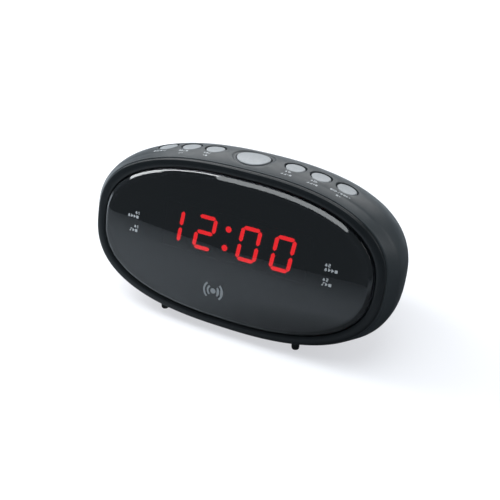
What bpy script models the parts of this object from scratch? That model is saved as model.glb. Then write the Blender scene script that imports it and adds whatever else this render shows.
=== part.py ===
"""Clock radio: an oval bedside radio with a leaning display face and a row of top buttons.

The case is upright and its face leans back. Lengths are in metres. +X is the right side seen
from the front, the face looks along -Y and the radio stands on z = 0. Two empties carry the
pieces: "radio" for what stands upright, and "face" for what lies parallel to the leaning face.
In the face's own frame +Y points into the case and +Z runs up the face.
"""

import math

import bmesh
import bpy
from mathutils import Vector
from mathutils.bvhtree import BVHTree

MM = 0.001
SMALL_GAP = 0.3 * MM

# The oval seam between the front bezel and the housing, in the plane of the face.
FACE_HALF_WIDTH = 81.0 * MM
FACE_HALF_HEIGHT = 43.5 * MM
FACE_POWER = 2.54
FACE_LEAN = math.radians(16.75)
FACE_Z = 46.2 * MM
FACE_Y = -23.65 * MM

# The display lens's outline, and its profile from the pocket floor to the crown.
LENS_HALF_WIDTH = 74.8 * MM
LENS_HALF_HEIGHT = 37.8 * MM
LENS_POWER = 2.47
LENS_BACK = -0.5 * MM
LENS_WALL_TOP = 2.4 * MM
LENS_EDGE_RADIUS = 1.8 * MM
LENS_CROWN = 3.0 * MM
LENS_THICKNESS = 2.2 * MM

# The case behind the face.
WALL = 2.2 * MM
REAR_SEAM_DEPTH = 34.0 * MM
BACK_DEPTH = 60.0 * MM
BACK_HALF_WIDTH = 44.0 * MM
BACK_HALF_HEIGHT = 20.0 * MM
BACK_Z = 42.0 * MM
SIDE_SLOPE = 0.607
SIDE_CREASE_DEPTH = 7.0 * MM
SIDE_CREST = 7.0 * MM
SIDE_CREST_RISE = 1.0 * MM
SIDE_ROUND_REACH = 20 * MM
TOP_FLARE = (0.152, -12.5)
BOTTOM_FLARE = (0.014, -1.5)
CORNER_DEPTH = 6.0 * MM
TOP_POWER = 2.34
BOTTOM_POWER = 2.78
AROUND = 48
BUTTON_AROUND = 20

# Top buttons, measured from the middle of the face.
BUTTON_ROW_DEPTH = 13.9 * MM
SNOOZE_HALF = (8.9 * MM, 7.9 * MM)
SNOOZE_FORWARD = 1.4 * MM
SMALL_BUTTON_HALF = (4.97 * MM, 4.97 * MM)
SMALL_BUTTON_X = (22.2 * MM, 36.0 * MM, 49.8 * MM)
ROW_BOW = 0.8 * MM
BUTTON_SINK = 0.35 * MM
BUTTON_GAP = 0.65 * MM
HOLE_SETBACK = 0.25 * MM
BUTTON_TRAVEL = 1.0 * MM
FLANGE_WIDTH = 1.3 * MM
FLANGE_CLEARANCE = 0.55 * MM
FLANGE_THICKNESS = 1.0 * MM
STEM_RADIUS = 2.0 * MM

# Key board and its switches.
KEY_BOARD_SIZE = (112 * MM, 17 * MM, 1.6 * MM)
KEY_BOARD_PLACE = (0, 26.8 * MM, 67.0 * MM)
SWITCH_SIZE = (6.0 * MM, 6.0 * MM, 3.4 * MM)
PLUNGER_HEIGHT = 0.8 * MM
KEY_SCREW_X = 29.2 * MM
KEY_SCREW_Y = 33.2 * MM

# Display and main board, in the face's frame (x, depth behind the face, height up the face).
DISPLAY_UP = 5.4 * MM
DISPLAY_SIZE = (80 * MM, 8.0 * MM, 24 * MM)
DISPLAY_FRONT = 1.2 * MM
WINDOW_SIZE = (81.5 * MM, 10 * MM, 25.5 * MM)
LAMP_X = 50.0 * MM
LAMP_UP = (5.6 * MM, -2.0 * MM)
MAIN_BOARD_SIZE = (124 * MM, 1.6 * MM, 40 * MM)
MAIN_BOARD_DEPTH = 9.6 * MM
BOARD_POST = (57 * MM, -8 * MM)

# Case posts (x, height) for the screws that hold the rear cover.
CASE_POSTS = ((60 * MM, 62 * MM), (60 * MM, 27 * MM), (-60 * MM, 62 * MM), (-60 * MM, 27 * MM))
POST_RADIUS = 3.2 * MM

# Loudspeaker, facing back.
SPEAKER_X = -34 * MM
SPEAKER_Z = 43 * MM
SPEAKER_FRONT = 42.8 * MM
SPEAKER_RADIUS = 25 * MM
SPEAKER_SCREW_RADIUS = 28.0 * MM
SPEAKER_SCREW_ANGLES = (35, 125, 300)

# Battery bay in the underside (middle, and inside size).
BAY_PLACE = (-12 * MM, 10.5 * MM)
BAY_SIZE = (56 * MM, 23.5 * MM)
BAY_ROOF = 20.7 * MM
BAY_WALL = 1.5 * MM
DOOR_REAR_GAP = 0.8 * MM
CELL_RADIUS = 5.2 * MM
CELL_LENGTH = 44.5 * MM

# Mains transformer.
CORE_PLACE = (35.2 * MM, 25.5 * MM, 33.4 * MM)
CORE_SIZE = (34 * MM, 14 * MM, 28 * MM)
LUG_X = 14.0 * MM
LUG_Y = 15.4 * MM

# Where the mains cord and the wire aerial leave the back panel, and their grommets' bores.
GLAND_PLACE = (26 * MM, 37 * MM)
GLAND_HOLE = 4.4 * MM
GLAND_BORE = 2.6 * MM
AERIAL_PLACE = (8 * MM, 37 * MM)
AERIAL_HOLE = 2.4 * MM
AERIAL_BORE = 0.9 * MM

FRONT_FEET = (38.7 * MM, -5.7 * MM)
FRONT_FOOT_HALF = (2.4 * MM, 2.4 * MM)
REAR_FEET = (36.0 * MM, 37.0 * MM)
REAR_FOOT_HALF = (6.5 * MM, 5.0 * MM)


def clear_scene():
    for thing in list(bpy.data.objects):
        bpy.data.objects.remove(thing, do_unlink=True)


def new_collection(name):
    group = bpy.data.collections.new(name)
    bpy.context.scene.collection.children.link(group)
    return group


def material(name, colour, roughness, metallic=0.0):
    made = bpy.data.materials.new(name)
    made.use_nodes = True
    shader = made.node_tree.nodes["Principled BSDF"]
    shader.inputs["Base Color"].default_value = (*colour, 1.0)
    shader.inputs["Roughness"].default_value = roughness
    shader.inputs["Metallic"].default_value = metallic
    made.diffuse_color = (*colour, 1.0)
    return made


clear_scene()
RADIO = new_collection("clock_radio")
CUTTERS = new_collection("cutters")

CASE_GREY = material("case_grey", (0.052, 0.056, 0.060), 0.55)
BEZEL_BLACK = material("bezel_black", (0.012, 0.014, 0.016), 0.22)
SMOKED = material("smoked_lens", (0.010, 0.012, 0.014), 0.05)
BUTTON_SILVER = material("button_silver", (0.52, 0.54, 0.56), 0.42)
BOARD_GREEN = material("board_green", (0.03, 0.14, 0.06), 0.5)
PART_BLACK = material("part_black", (0.02, 0.02, 0.022), 0.45)
DISPLAY_WHITE = material("display_white", (0.55, 0.55, 0.53), 0.6)
LAMP_RED = material("lamp_red", (0.55, 0.02, 0.02), 0.2)
STEEL = material("plated_steel", (0.55, 0.55, 0.53), 0.35, 1.0)
CORE_STEEL = material("core_steel", (0.22, 0.21, 0.2), 0.5, 1.0)
COPPER_TAPE = material("winding_tape", (0.50, 0.30, 0.08), 0.5)
CONE_PAPER = material("cone_paper", (0.05, 0.045, 0.04), 0.85)
FERRITE = material("ferrite", (0.05, 0.05, 0.055), 0.6)
CELL_SLEEVE = material("cell_sleeve", (0.12, 0.28, 0.42), 0.35)
CAPACITOR_SLEEVE = material("capacitor_sleeve", (0.03, 0.06, 0.16), 0.35)
RUBBER = material("foot_rubber", (0.015, 0.015, 0.016), 0.75)
LABEL_SILVER = material("label_silver", (0.6, 0.6, 0.6), 0.4)


def frame_empty(name, place, turn=0.0):
    empty = bpy.data.objects.new(name, None)
    empty.location = place
    empty.rotation_euler = (turn, 0, 0)
    RADIO.objects.link(empty)
    return empty


UPRIGHT = frame_empty("radio", (0, FACE_Y, 0))
FACE = frame_empty("face", (0, FACE_Y, FACE_Z), -FACE_LEAN)


def add_object(name, mesh, look, parent, place=(0, 0, 0), turn=(0, 0, 0)):
    made = bpy.data.objects.new(name, mesh)
    made.parent = parent
    made.location = place
    made.rotation_euler = turn
    if look is None:
        CUTTERS.objects.link(made)
        made.hide_render = True
        made.display_type = "WIRE"
    else:
        mesh.materials.append(look)
        RADIO.objects.link(made)
    return made


def finish_mesh(name, bm, sharp_angle=35.0):
    bmesh.ops.recalc_face_normals(bm, faces=bm.faces)
    mesh = bpy.data.meshes.new(name)
    bm.to_mesh(mesh)
    bm.free()
    mesh.shade_smooth()
    mesh.set_sharp_from_angle(angle=math.radians(sharp_angle))
    return mesh


def loft(name, rings, look, parent, ring_shaped=False, **placing):
    """A skin through rings of equal count: capped at both ends, or closed on itself."""
    bm = bmesh.new()
    loops = [[bm.verts.new(point) for point in ring] for ring in rings]
    pairs = list(zip(loops, loops[1:]))
    if ring_shaped:
        pairs.append((loops[-1], loops[0]))
    for first, second in pairs:
        for i in range(len(first)):
            j = (i + 1) % len(first)
            bm.faces.new((first[i], first[j], second[j], second[i]))
    if not ring_shaped:
        bm.faces.new(loops[0])
        bm.faces.new(loops[-1])
    bmesh.ops.triangulate(bm, faces=bm.faces)
    return add_object(name, finish_mesh(name, bm), look, parent, **placing)


def box(name, size, place, look, parent, bevel=0.0):
    bm = bmesh.new()
    bmesh.ops.create_cube(bm, size=1.0)
    bmesh.ops.scale(bm, vec=size, verts=bm.verts)
    made = add_object(name, finish_mesh(name, bm), look, parent, place=place)
    if bevel:
        soften(made, bevel)
    return made


def soften(thing, width, segments=1):
    rounding = thing.modifiers.new("rounded_edges", "BEVEL")
    rounding.width = width
    rounding.segments = segments
    rounding.limit_method = "ANGLE"


def turned(name, profile, look, parent, place, turn=(0, 0, 0), steps=24):
    """A profile of (radius, height) points, from the top of the axis down its outer side."""
    mesh = bpy.data.meshes.new(name)
    points = [(radius, 0, height) for radius, height in profile]
    mesh.from_pydata(points, [(i, i + 1) for i in range(len(points) - 1)], [])
    made = add_object(name, mesh, look, parent, place=place, turn=turn)
    add_screw(made, steps)
    return made


def turned_ring(name, profile, look, parent, place, turn=(0, 0, 0), steps=24):
    """A closed profile that stays off the axis, clockwise seen with the radius to the right."""
    mesh = bpy.data.meshes.new(name)
    points = [(radius, 0, height) for radius, height in profile]
    count = len(points)
    mesh.from_pydata(points, [(i, (i + 1) % count) for i in range(count)], [])
    made = add_object(name, mesh, look, parent, place=place, turn=turn)
    add_screw(made, steps)
    return made


def add_screw(thing, steps):
    spin = thing.modifiers.new("turned", "SCREW")
    spin.steps = steps
    spin.render_steps = steps
    spin.use_merge_vertices = True
    spin.merge_threshold = 0.00001
    spin.use_smooth_shade = True


def boolean(thing, other, operation):
    cut = thing.modifiers.new(f"{operation.lower()}_{other.name}", "BOOLEAN")
    cut.operation = operation
    cut.object = other
    cut.solver = "EXACT"


def baked(thing):
    """The object with its modifiers applied, so that another piece can start from its mesh."""
    view = bpy.context.evaluated_depsgraph_get()
    mesh = bpy.data.meshes.new_from_object(thing.evaluated_get(view))
    thing.modifiers.clear()
    thing.data = mesh
    return thing


ALONG_Y = (-math.pi / 2, 0, 0)
ALONG_MINUS_Y = (math.pi / 2, 0, 0)
ALONG_X = (0, math.pi / 2, 0)
ALONG_MINUS_Z = (math.pi, 0, 0)


# ---------------------------------------------------------------- shape of the case

def unit_oval(power, lower_power=None):
    for i in range(AROUND):
        angle = 2 * math.pi * i / AROUND
        across, up = math.cos(angle), math.sin(angle)
        share = 2 / (lower_power if lower_power and up < 0 else power)
        yield math.copysign(abs(across) ** share, across), math.copysign(abs(up) ** share, up)


def side_flare(depth):
    """How far the sides stand out past the seam: a flared front band, a crease, then a round."""
    if depth < SIDE_CREASE_DEPTH:
        return SIDE_SLOPE * depth
    past = depth - SIDE_CREASE_DEPTH
    start = SIDE_SLOPE * SIDE_CREASE_DEPTH
    if past < SIDE_CREST:
        return start + SIDE_CREST_RISE * (1 - (1 - past / SIDE_CREST) ** 2)
    fall = math.hypot(1, (past - SIDE_CREST) / SIDE_ROUND_REACH) - 1
    return start + SIDE_CREST_RISE - SIDE_ROUND_REACH * fall


def crown_flare(depth, shape):
    slope, bend = shape
    return slope * depth + bend * depth ** 2


def case_oval(depth):
    """The outline's shape: the face's oval, soon rounder above and squarer below."""
    share = min(depth / CORNER_DEPTH, 1)
    top = FACE_POWER + (TOP_POWER - FACE_POWER) * share
    bottom = FACE_POWER + (BOTTOM_POWER - FACE_POWER) * share
    return unit_oval(top, bottom)


def case_ring(depth, inset=0.0):
    """The case's outline this far behind the face's plane, shrunk by inset."""
    half_width = FACE_HALF_WIDTH + side_flare(depth) - inset
    upright = FACE_HALF_HEIGHT * math.cos(FACE_LEAN)
    up = upright + crown_flare(depth, TOP_FLARE) - inset
    down = upright + crown_flare(depth, BOTTOM_FLARE) - inset
    ring = []
    for across, along in case_oval(depth):
        lean = (upright - inset) * along * math.tan(FACE_LEAN)
        height = along * (up if along > 0 else down)
        ring.append(Vector((half_width * across, lean + depth, FACE_Z + height)))
    return ring


def rear_ring(fraction, inset=0.0):
    """The rear cover's outline, from the rear seam (0) to the flat back panel (1)."""
    start_depth = REAR_SEAM_DEPTH + SMALL_GAP
    probe = 0.5 * MM
    ring = []
    starts = case_ring(start_depth, inset)
    probes = case_ring(start_depth + probe, inset)
    ends = case_oval(start_depth)
    for start, ahead, (across, along) in zip(starts, probes, ends):
        end = Vector((
            (BACK_HALF_WIDTH - inset) * across,
            BACK_DEPTH - inset,
            BACK_Z + (BACK_HALF_HEIGHT - inset) * along,
        ))
        run = end.y - start.y
        leave = start + (ahead - start) / probe * run * 0.6
        arrive = end + 0.6 * Vector((start.x - end.x, 0, start.z - end.z))
        rest = 1 - fraction
        ring.append(
            rest ** 3 * start
            + 3 * rest ** 2 * fraction * leave
            + 3 * rest * fraction ** 2 * arrive
            + fraction ** 3 * end
        )
    return ring


def face_ring(share, forward):
    """An oval in the face's frame, from the case seam (share 0) to the lens outline (share 1)."""
    half_width = FACE_HALF_WIDTH + (LENS_HALF_WIDTH - FACE_HALF_WIDTH) * share
    half_height = FACE_HALF_HEIGHT + (LENS_HALF_HEIGHT - FACE_HALF_HEIGHT) * share
    power = FACE_POWER + (LENS_POWER - FACE_POWER) * share
    return [(half_width * a, -forward, half_height * b) for a, b in unit_oval(power)]


def lens_ring(inset, forward):
    half_width = LENS_HALF_WIDTH - inset
    half_height = LENS_HALF_HEIGHT - inset
    return [(half_width * a, -forward, half_height * b) for a, b in unit_oval(LENS_POWER)]


def lens_edge():
    """Rings up the lens's outer wall and over its bevelled edge."""
    return [
        lens_ring(inset * MM, forward * MM)
        for inset, forward in ((0.0, 2.2), (0.27, 2.84), (1.96, 4.14))
    ]


def crown_ring(scale, under=0.0):
    inner_width = LENS_HALF_WIDTH - LENS_EDGE_RADIUS
    inner_height = LENS_HALF_HEIGHT - LENS_EDGE_RADIUS
    forward = LENS_WALL_TOP + LENS_EDGE_RADIUS + LENS_CROWN * (1 - scale ** 2) - under
    return [
        (inner_width * scale * a, -forward, inner_height * scale * b)
        for a, b in unit_oval(LENS_POWER)
    ]


# ---------------------------------------------------------------- casings

HOUSING_DEPTHS = [d * MM for d in (0.0, 0.6, 3.5, 7.0, 10.0, 14.0, 20.0, 27.0)]
HOUSING_INNER_DEPTHS = [d * MM for d in (0.0, 3.5, 7.0, 14.0, 24.0)]
REAR_FRACTIONS = (0.0, 0.16, 0.32, 0.48, 0.65, 0.82, 1.0)
REAR_INNER_FRACTIONS = (0.0, 0.25, 0.5, 0.75, 1.0)


def housing_shell(name, look):
    edge = 0.35 * MM
    rings = [case_ring(depth, edge if depth == 0 else 0.0) for depth in HOUSING_DEPTHS]
    rings.append(case_ring(REAR_SEAM_DEPTH - 0.5 * MM))
    rings.append(case_ring(REAR_SEAM_DEPTH, edge))
    rings.append(case_ring(REAR_SEAM_DEPTH, WALL))
    rings += [case_ring(depth, WALL) for depth in reversed(HOUSING_INNER_DEPTHS)]
    return loft(name, rings, look, UPRIGHT, ring_shaped=True)


def rear_shell():
    rings = [rear_ring(f, WALL) for f in reversed(REAR_INNER_FRACTIONS)]
    rings.append(rear_ring(0.0, 0.35 * MM))
    rings.append(rear_ring(0.02))
    rings += [rear_ring(f) for f in REAR_FRACTIONS[1:]]
    return loft("rear_cover", rings, CASE_GREY, UPRIGHT)


def surface_of(thing):
    """A piece's surface for measuring heights on, in the upright frame."""
    mesh = thing.data
    return BVHTree.FromPolygons(
        [vertex.co.copy() for vertex in mesh.vertices],
        [tuple(face.vertices) for face in mesh.polygons],
    )


def height_above(surface, x, y):
    return surface.ray_cast(Vector((x, y, 1.0)), Vector((0, 0, -1)))[0].z


def height_below(surface, x, y):
    return surface.ray_cast(Vector((x, y, -1.0)), Vector((0, 0, 1)))[0].z


def ceiling(surface, x, y):
    return surface.ray_cast(Vector((x, y, FACE_Z)), Vector((0, 0, 1)))[0].z


def floor_inside(surface, x, y):
    return surface.ray_cast(Vector((x, y, FACE_Z)), Vector((0, 0, -1)))[0].z


def post_block(name, plug, shape):
    """A rib or post, trimmed to end inside the wall that it grows from."""
    boolean(shape, plug, "INTERSECT")
    block = baked(shape)
    block.name = name
    return block


def cylinder_cutter(name, radius, length, place, turn=(0, 0, 0), parent=None, segments=16):
    bm = bmesh.new()
    bmesh.ops.create_cone(
        bm, cap_ends=True, segments=segments, radius1=radius, radius2=radius, depth=length
    )
    return add_object(name, finish_mesh(name, bm), None, parent or UPRIGHT, place=place, turn=turn)


def box_cutter(name, size, place, parent=None):
    return box(name, size, place, None, parent or UPRIGHT)


def ellipse_ring(x, y, half_x, half_y, height_at, count=BUTTON_AROUND):
    ring = []
    for i in range(count):
        angle = 2 * math.pi * i / count
        px = x + half_x * math.cos(angle)
        py = y + half_y * math.sin(angle)
        ring.append((px, py, height_at(px, py)))
    return ring


def button_places():
    row = FACE_HALF_HEIGHT * math.sin(FACE_LEAN) + BUTTON_ROW_DEPTH
    yield "snooze_button", 0.0, row - SNOOZE_FORWARD, SNOOZE_HALF
    for side, name in ((-1, "left"), (1, "right")):
        for number, x in enumerate(SMALL_BUTTON_X, 1):
            y = row - ROW_BOW * (x / SMALL_BUTTON_X[2]) ** 2
            yield f"{name}_button_{number}", side * x, y, SMALL_BUTTON_HALF


def make_button(name, x, y, half, surface):
    """A cap, its retaining flange and its stem, stacked from the stem's foot upwards."""
    half_x, half_y = half
    foot = KEY_BOARD_PLACE[2] + KEY_BOARD_SIZE[2] / 2 + SWITCH_SIZE[2] + PLUNGER_HEIGHT
    foot += BUTTON_TRAVEL + 0.15 * MM
    flange_x, flange_y = half_x + FLANGE_WIDTH, half_y + FLANGE_WIDTH

    def skin(depth):
        return lambda px, py: height_above(surface, px, py) - BUTTON_SINK - depth

    def inside(depth):
        return lambda px, py: ceiling(surface, px, py) - FLANGE_CLEARANCE - depth

    rings = [
        ellipse_ring(x, y, STEM_RADIUS, STEM_RADIUS, lambda px, py: foot),
        ellipse_ring(x, y, STEM_RADIUS, STEM_RADIUS, inside(FLANGE_THICKNESS)),
        ellipse_ring(x, y, flange_x, flange_y, inside(FLANGE_THICKNESS)),
        ellipse_ring(x, y, flange_x, flange_y, inside(0)),
        ellipse_ring(x, y, half_x, half_y, inside(0)),
    ]
    for inset, depth in ((0.0, 0.6), (0.15, 0.2), (0.5, 0.0), (1.5, 0.1), (3.0, 0.14)):
        size_x, size_y = half_x - inset * MM, half_y - inset * MM
        rings.append(ellipse_ring(x, y, size_x, size_y, skin(depth * MM)))
    loft(name, rings, BUTTON_SILVER, UPRIGHT)


def make_casings():
    housing = housing_shell("main_housing", CASE_GREY)
    surface = surface_of(housing)
    rear = rear_shell()
    rear_surface = surface_of(rear)
    inset = 1.1 * MM
    plug_depths = [0.3 * MM] + HOUSING_INNER_DEPTHS[1:] + [REAR_SEAM_DEPTH - SMALL_GAP]
    plug = loft("housing_plug", [case_ring(d, inset) for d in plug_depths], None, UPRIGHT)
    rear_plug = loft(
        "rear_plug", [rear_ring(f, inset) for f in (0.01, 0.2, 0.4, 0.6, 0.8, 1.0)], None, UPRIGHT
    )
    bpy.context.view_layer.update()
    shell_copy = add_object("bay_skin", housing.data.copy(), None, UPRIGHT)

    add_battery_bay(housing, plug, shell_copy)
    add_housing_posts(housing, plug, surface)
    add_button_holes(housing, surface)
    add_rear_details(rear, rear_plug)
    for name, x, y, half in button_places():
        make_button(name, x, y, half, surface)
    return surface, rear_surface


def add_button_holes(housing, surface):
    """A dish round the snooze bar and a straight slot for each cap."""
    for name, x, y, (half_x, half_y) in button_places():
        size_x, size_y = half_x + BUTTON_GAP, half_y + BUTTON_GAP
        height = height_above(surface, x, y)
        hole_y = y + HOLE_SETBACK
        rings = [
            ellipse_ring(x, hole_y, size_x, size_y, lambda px, py: height - 7 * MM),
            ellipse_ring(x, hole_y, size_x, size_y, lambda px, py: height + 7 * MM),
        ]
        boolean(housing, loft(f"hole_{name}", rings, None, UPRIGHT), "DIFFERENCE")
        if name == "snooze_button":
            dish = []
            for wider, lift in ((1.3, -0.8), (2.2, -0.35), (3.4, 1.0)):
                dish.append(ellipse_ring(
                    x, hole_y, half_x + wider * MM, half_y + wider * MM,
                    lambda px, py, lift=lift: height_above(surface, px, py) + lift * MM,
                ))
            boolean(housing, loft("snooze_dish", dish, None, UPRIGHT), "DIFFERENCE")


def add_battery_bay(housing, plug, skin):
    """The bay's own walls, its hollow, and the door cut from the same skin as the case."""
    bay_x, bay_y = BAY_PLACE
    size_x, size_y = BAY_SIZE
    roof = BAY_ROOF + BAY_WALL
    outer = box(
        "bay_walls",
        (size_x + 2 * BAY_WALL, size_y + 2 * BAY_WALL, roof),
        (bay_x, bay_y, roof / 2),
        None,
        UPRIGHT,
    )
    boolean(housing, post_block("bay_walls", plug, outer), "UNION")
    hollow = box_cutter("bay_hollow", (size_x, size_y, 40 * MM), (bay_x, bay_y, BAY_ROOF - 20 * MM))
    boolean(housing, hollow, "DIFFERENCE")
    door = add_object("battery_door", skin.data.copy(), CASE_GREY, UPRIGHT)
    door.data.materials.clear()
    door.data.materials.append(CASE_GREY)
    margin = SMALL_GAP + DOOR_REAR_GAP
    door_block = box_cutter(
        "door_block",
        (size_x - 2 * SMALL_GAP, size_y - margin, 16 * MM),
        (bay_x, bay_y + (SMALL_GAP - DOOR_REAR_GAP) / 2, 4 * MM),
    )
    boolean(door, door_block, "INTERSECT")
    thumb_y = bay_y + size_y / 2 - 5.5 * MM
    thumb = cylinder_cutter("thumb_dimple", 4.0 * MM, 5.2 * MM, (bay_x, thumb_y, 3.6 * MM))
    boolean(door, thumb, "DIFFERENCE")
    bpy.data.objects.remove(skin)


def add_housing_posts(housing, plug, surface):
    """Four ribbed posts for the case screws, and the posts for the boards and transformer."""
    for number, (x, z) in enumerate(CASE_POSTS, 1):
        lean = (z - FACE_Z) * math.tan(FACE_LEAN)
        middle = lean + 22 * MM
        post = cylinder_cutter(f"case_post_{number}", POST_RADIUS, 60 * MM, (x, middle, z), ALONG_Y)
        keep = box_cutter(f"case_keep_{number}", (12 * MM, 20 * MM, 12 * MM), (x, middle + 4 * MM, z))
        boolean(post, keep, "INTERSECT")
        rib_place = (x + math.copysign(14 * MM, x), middle - 1 * MM, z)
        rib = box_cutter(f"case_rib_{number}", (28 * MM, 8 * MM, 2 * MM), rib_place)
        boolean(post, rib, "UNION")
        boolean(housing, post_block(f"case_post_{number}", plug, post), "UNION")
        bore = cylinder_cutter(
            f"case_bore_{number}", 1.3 * MM, 14 * MM, (x, lean + REAR_SEAM_DEPTH - 4 * MM, z), ALONG_Y
        )
        boolean(housing, bore, "DIFFERENCE")
    board_top = KEY_BOARD_PLACE[2] + KEY_BOARD_SIZE[2] / 2
    for number, x in enumerate((-KEY_SCREW_X, KEY_SCREW_X), 1):
        roof = ceiling(surface, x, KEY_SCREW_Y) + 0.9 * MM
        foot = board_top + SMALL_GAP
        middle = (x, KEY_SCREW_Y, (roof + foot) / 2)
        boolean(housing, cylinder_cutter(f"key_post_{number}", 2.4 * MM, roof - foot, middle), "UNION")
        bore = cylinder_cutter(f"key_bore_{number}", 1.2 * MM, 12 * MM, (x, KEY_SCREW_Y, foot), segments=12)
        boolean(housing, bore, "DIFFERENCE")
    lug_foot = CORE_PLACE[2] - CORE_SIZE[2] / 2 - 1.2 * MM - SMALL_GAP
    for number, x in enumerate((CORE_PLACE[0] - LUG_X, CORE_PLACE[0] + LUG_X), 1):
        ground = floor_inside(surface, x, LUG_Y) - 0.9 * MM
        middle = (x, LUG_Y, (ground + lug_foot) / 2)
        height = lug_foot - ground
        boolean(housing, cylinder_cutter(f"lug_post_{number}", 2.6 * MM, height, middle), "UNION")
        bore = cylinder_cutter(f"lug_bore_{number}", 1.2 * MM, 7 * MM, (x, LUG_Y, lug_foot), segments=12)
        boolean(housing, bore, "DIFFERENCE")


def speaker_screw_places():
    for degrees in SPEAKER_SCREW_ANGLES:
        angle = math.radians(degrees)
        yield (
            SPEAKER_X + SPEAKER_SCREW_RADIUS * math.cos(angle),
            SPEAKER_Z + SPEAKER_SCREW_RADIUS * math.sin(angle),
        )


def add_rear_details(rear, plug):
    """Screw wells, loudspeaker posts and slots, and the two cable holes."""
    for number, (x, z) in enumerate(CASE_POSTS, 1):
        lean = (z - FACE_Z) * math.tan(FACE_LEAN)
        seam = lean + REAR_SEAM_DEPTH + SMALL_GAP
        well_start = seam + 0.6 * MM
        well = cylinder_cutter(
            f"well_{number}", 5.2 * MM, 30 * MM, (x, well_start + 15 * MM, z), ALONG_Y
        )
        boolean(rear, post_block(f"well_{number}", plug, well), "UNION")
        head_start = well_start + 2.0 * MM
        head = cylinder_cutter(
            f"head_space_{number}", 3.7 * MM, 40 * MM, (x, head_start + 20 * MM, z), ALONG_Y
        )
        boolean(rear, head, "DIFFERENCE")
        shank = cylinder_cutter(f"shank_{number}", 1.7 * MM, 20 * MM, (x, seam, z), ALONG_Y)
        boolean(rear, shank, "DIFFERENCE")
    for number, (x, z) in enumerate(speaker_screw_places(), 1):
        start = SPEAKER_FRONT + SMALL_GAP
        post = cylinder_cutter(
            f"speaker_post_{number}", 2.7 * MM, 30 * MM, (x, start + 15 * MM, z), ALONG_Y
        )
        boolean(rear, post_block(f"speaker_post_{number}", plug, post), "UNION")
        bore = cylinder_cutter(
            f"speaker_bore_{number}", 1.6 * MM, 10 * MM, (x, start, z), ALONG_Y, segments=12
        )
        boolean(rear, bore, "DIFFERENCE")
    slot_reach = 18 * MM
    for number in range(-3, 4):
        up = number * 4.6 * MM
        width = 2 * math.sqrt(slot_reach ** 2 - up ** 2)
        slot = box_cutter(
            f"slot_{number + 4}",
            (width, 40 * MM, 2.0 * MM),
            (SPEAKER_X, SPEAKER_FRONT + 24 * MM, SPEAKER_Z + up),
        )
        boolean(rear, slot, "DIFFERENCE")
    for name, (x, z), radius in (
        ("gland_hole", GLAND_PLACE, GLAND_HOLE),
        ("aerial_hole", AERIAL_PLACE, AERIAL_HOLE),
    ):
        hole = cylinder_cutter(name, radius, 16 * MM, (x, BACK_DEPTH, z), ALONG_Y)
        boolean(rear, hole, "DIFFERENCE")


# ---------------------------------------------------------------- face pieces

def make_bezel():
    inner = 0.95
    inside_wall = 0.80
    back = -2.6 * MM
    profile = (
        (inner, -0.8 * MM),
        (inner, 1.5 * MM),
        (0.88, 1.9 * MM),
        (0.55, 2.2 * MM),
        (0.20, 1.9 * MM),
        (0.07, 1.3 * MM),
        (0.02, 0.3 * MM),
        (inside_wall, 0.3 * MM),
        (inside_wall, back),
    )
    rings = [face_ring(share, forward) for share, forward in profile]
    bezel = loft("front_bezel", rings, BEZEL_BLACK, FACE)
    boolean(bezel, box_cutter("window", WINDOW_SIZE, (0, 0, DISPLAY_UP), FACE), "DIFFERENCE")
    for x, up in lamp_places():
        hole = cylinder_cutter("lamp_hole", 1.9 * MM, 10 * MM, (x, 0, up), ALONG_Y, FACE, 16)
        boolean(bezel, hole, "DIFFERENCE")
    post_x, post_up = BOARD_POST
    post_end = MAIN_BOARD_DEPTH - SMALL_GAP
    for number, x in enumerate((-post_x, post_x), 1):
        length = post_end - 1.5 * MM
        middle = (x, 1.5 * MM + length / 2, post_up)
        post = cylinder_cutter(f"board_post_{number}", 2.6 * MM, length, middle, ALONG_Y, FACE, 20)
        boolean(bezel, post, "UNION")
        bore = cylinder_cutter(
            f"board_bore_{number}", 1.2 * MM, 12 * MM, (x, post_end, post_up), ALONG_Y, FACE, 12
        )
        boolean(bezel, bore, "DIFFERENCE")


def make_lens():
    under = LENS_THICKNESS
    rings = [crown_ring(scale, under) for scale in (0.5, 0.95)]
    rings.append(lens_ring(LENS_THICKNESS, LENS_WALL_TOP))
    rings.append(lens_ring(LENS_THICKNESS, LENS_BACK))
    rings.append(lens_ring(0.0, LENS_BACK))
    rings += lens_edge()
    rings += [crown_ring(scale) for scale in (0.97, 0.75, 0.4)]
    loft("display_lens", rings, SMOKED, FACE)


def lamp_places():
    return [(x, up) for x in (-LAMP_X, LAMP_X) for up in LAMP_UP]


def make_display():
    middle = DISPLAY_FRONT + DISPLAY_SIZE[1] / 2
    box("display_module", DISPLAY_SIZE, (0, middle, DISPLAY_UP), DISPLAY_WHITE, FACE, 0.4 * MM)
    front = 1.0 * MM
    back = MAIN_BOARD_DEPTH - SMALL_GAP
    tall = back - front
    profile = (
        (0, tall), (0.9 * MM, tall - 0.25 * MM), (1.5 * MM, tall - 1.0 * MM),
        (1.5 * MM, 2.0 * MM), (2.1 * MM, 2.0 * MM), (2.1 * MM, 0), (0, 0),
    )
    for number, (x, up) in enumerate(lamp_places(), 1):
        place = (x, back, up)
        turned(f"alarm_lamp_{number}", profile, LAMP_RED, FACE, place, ALONG_MINUS_Y, 16)


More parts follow.
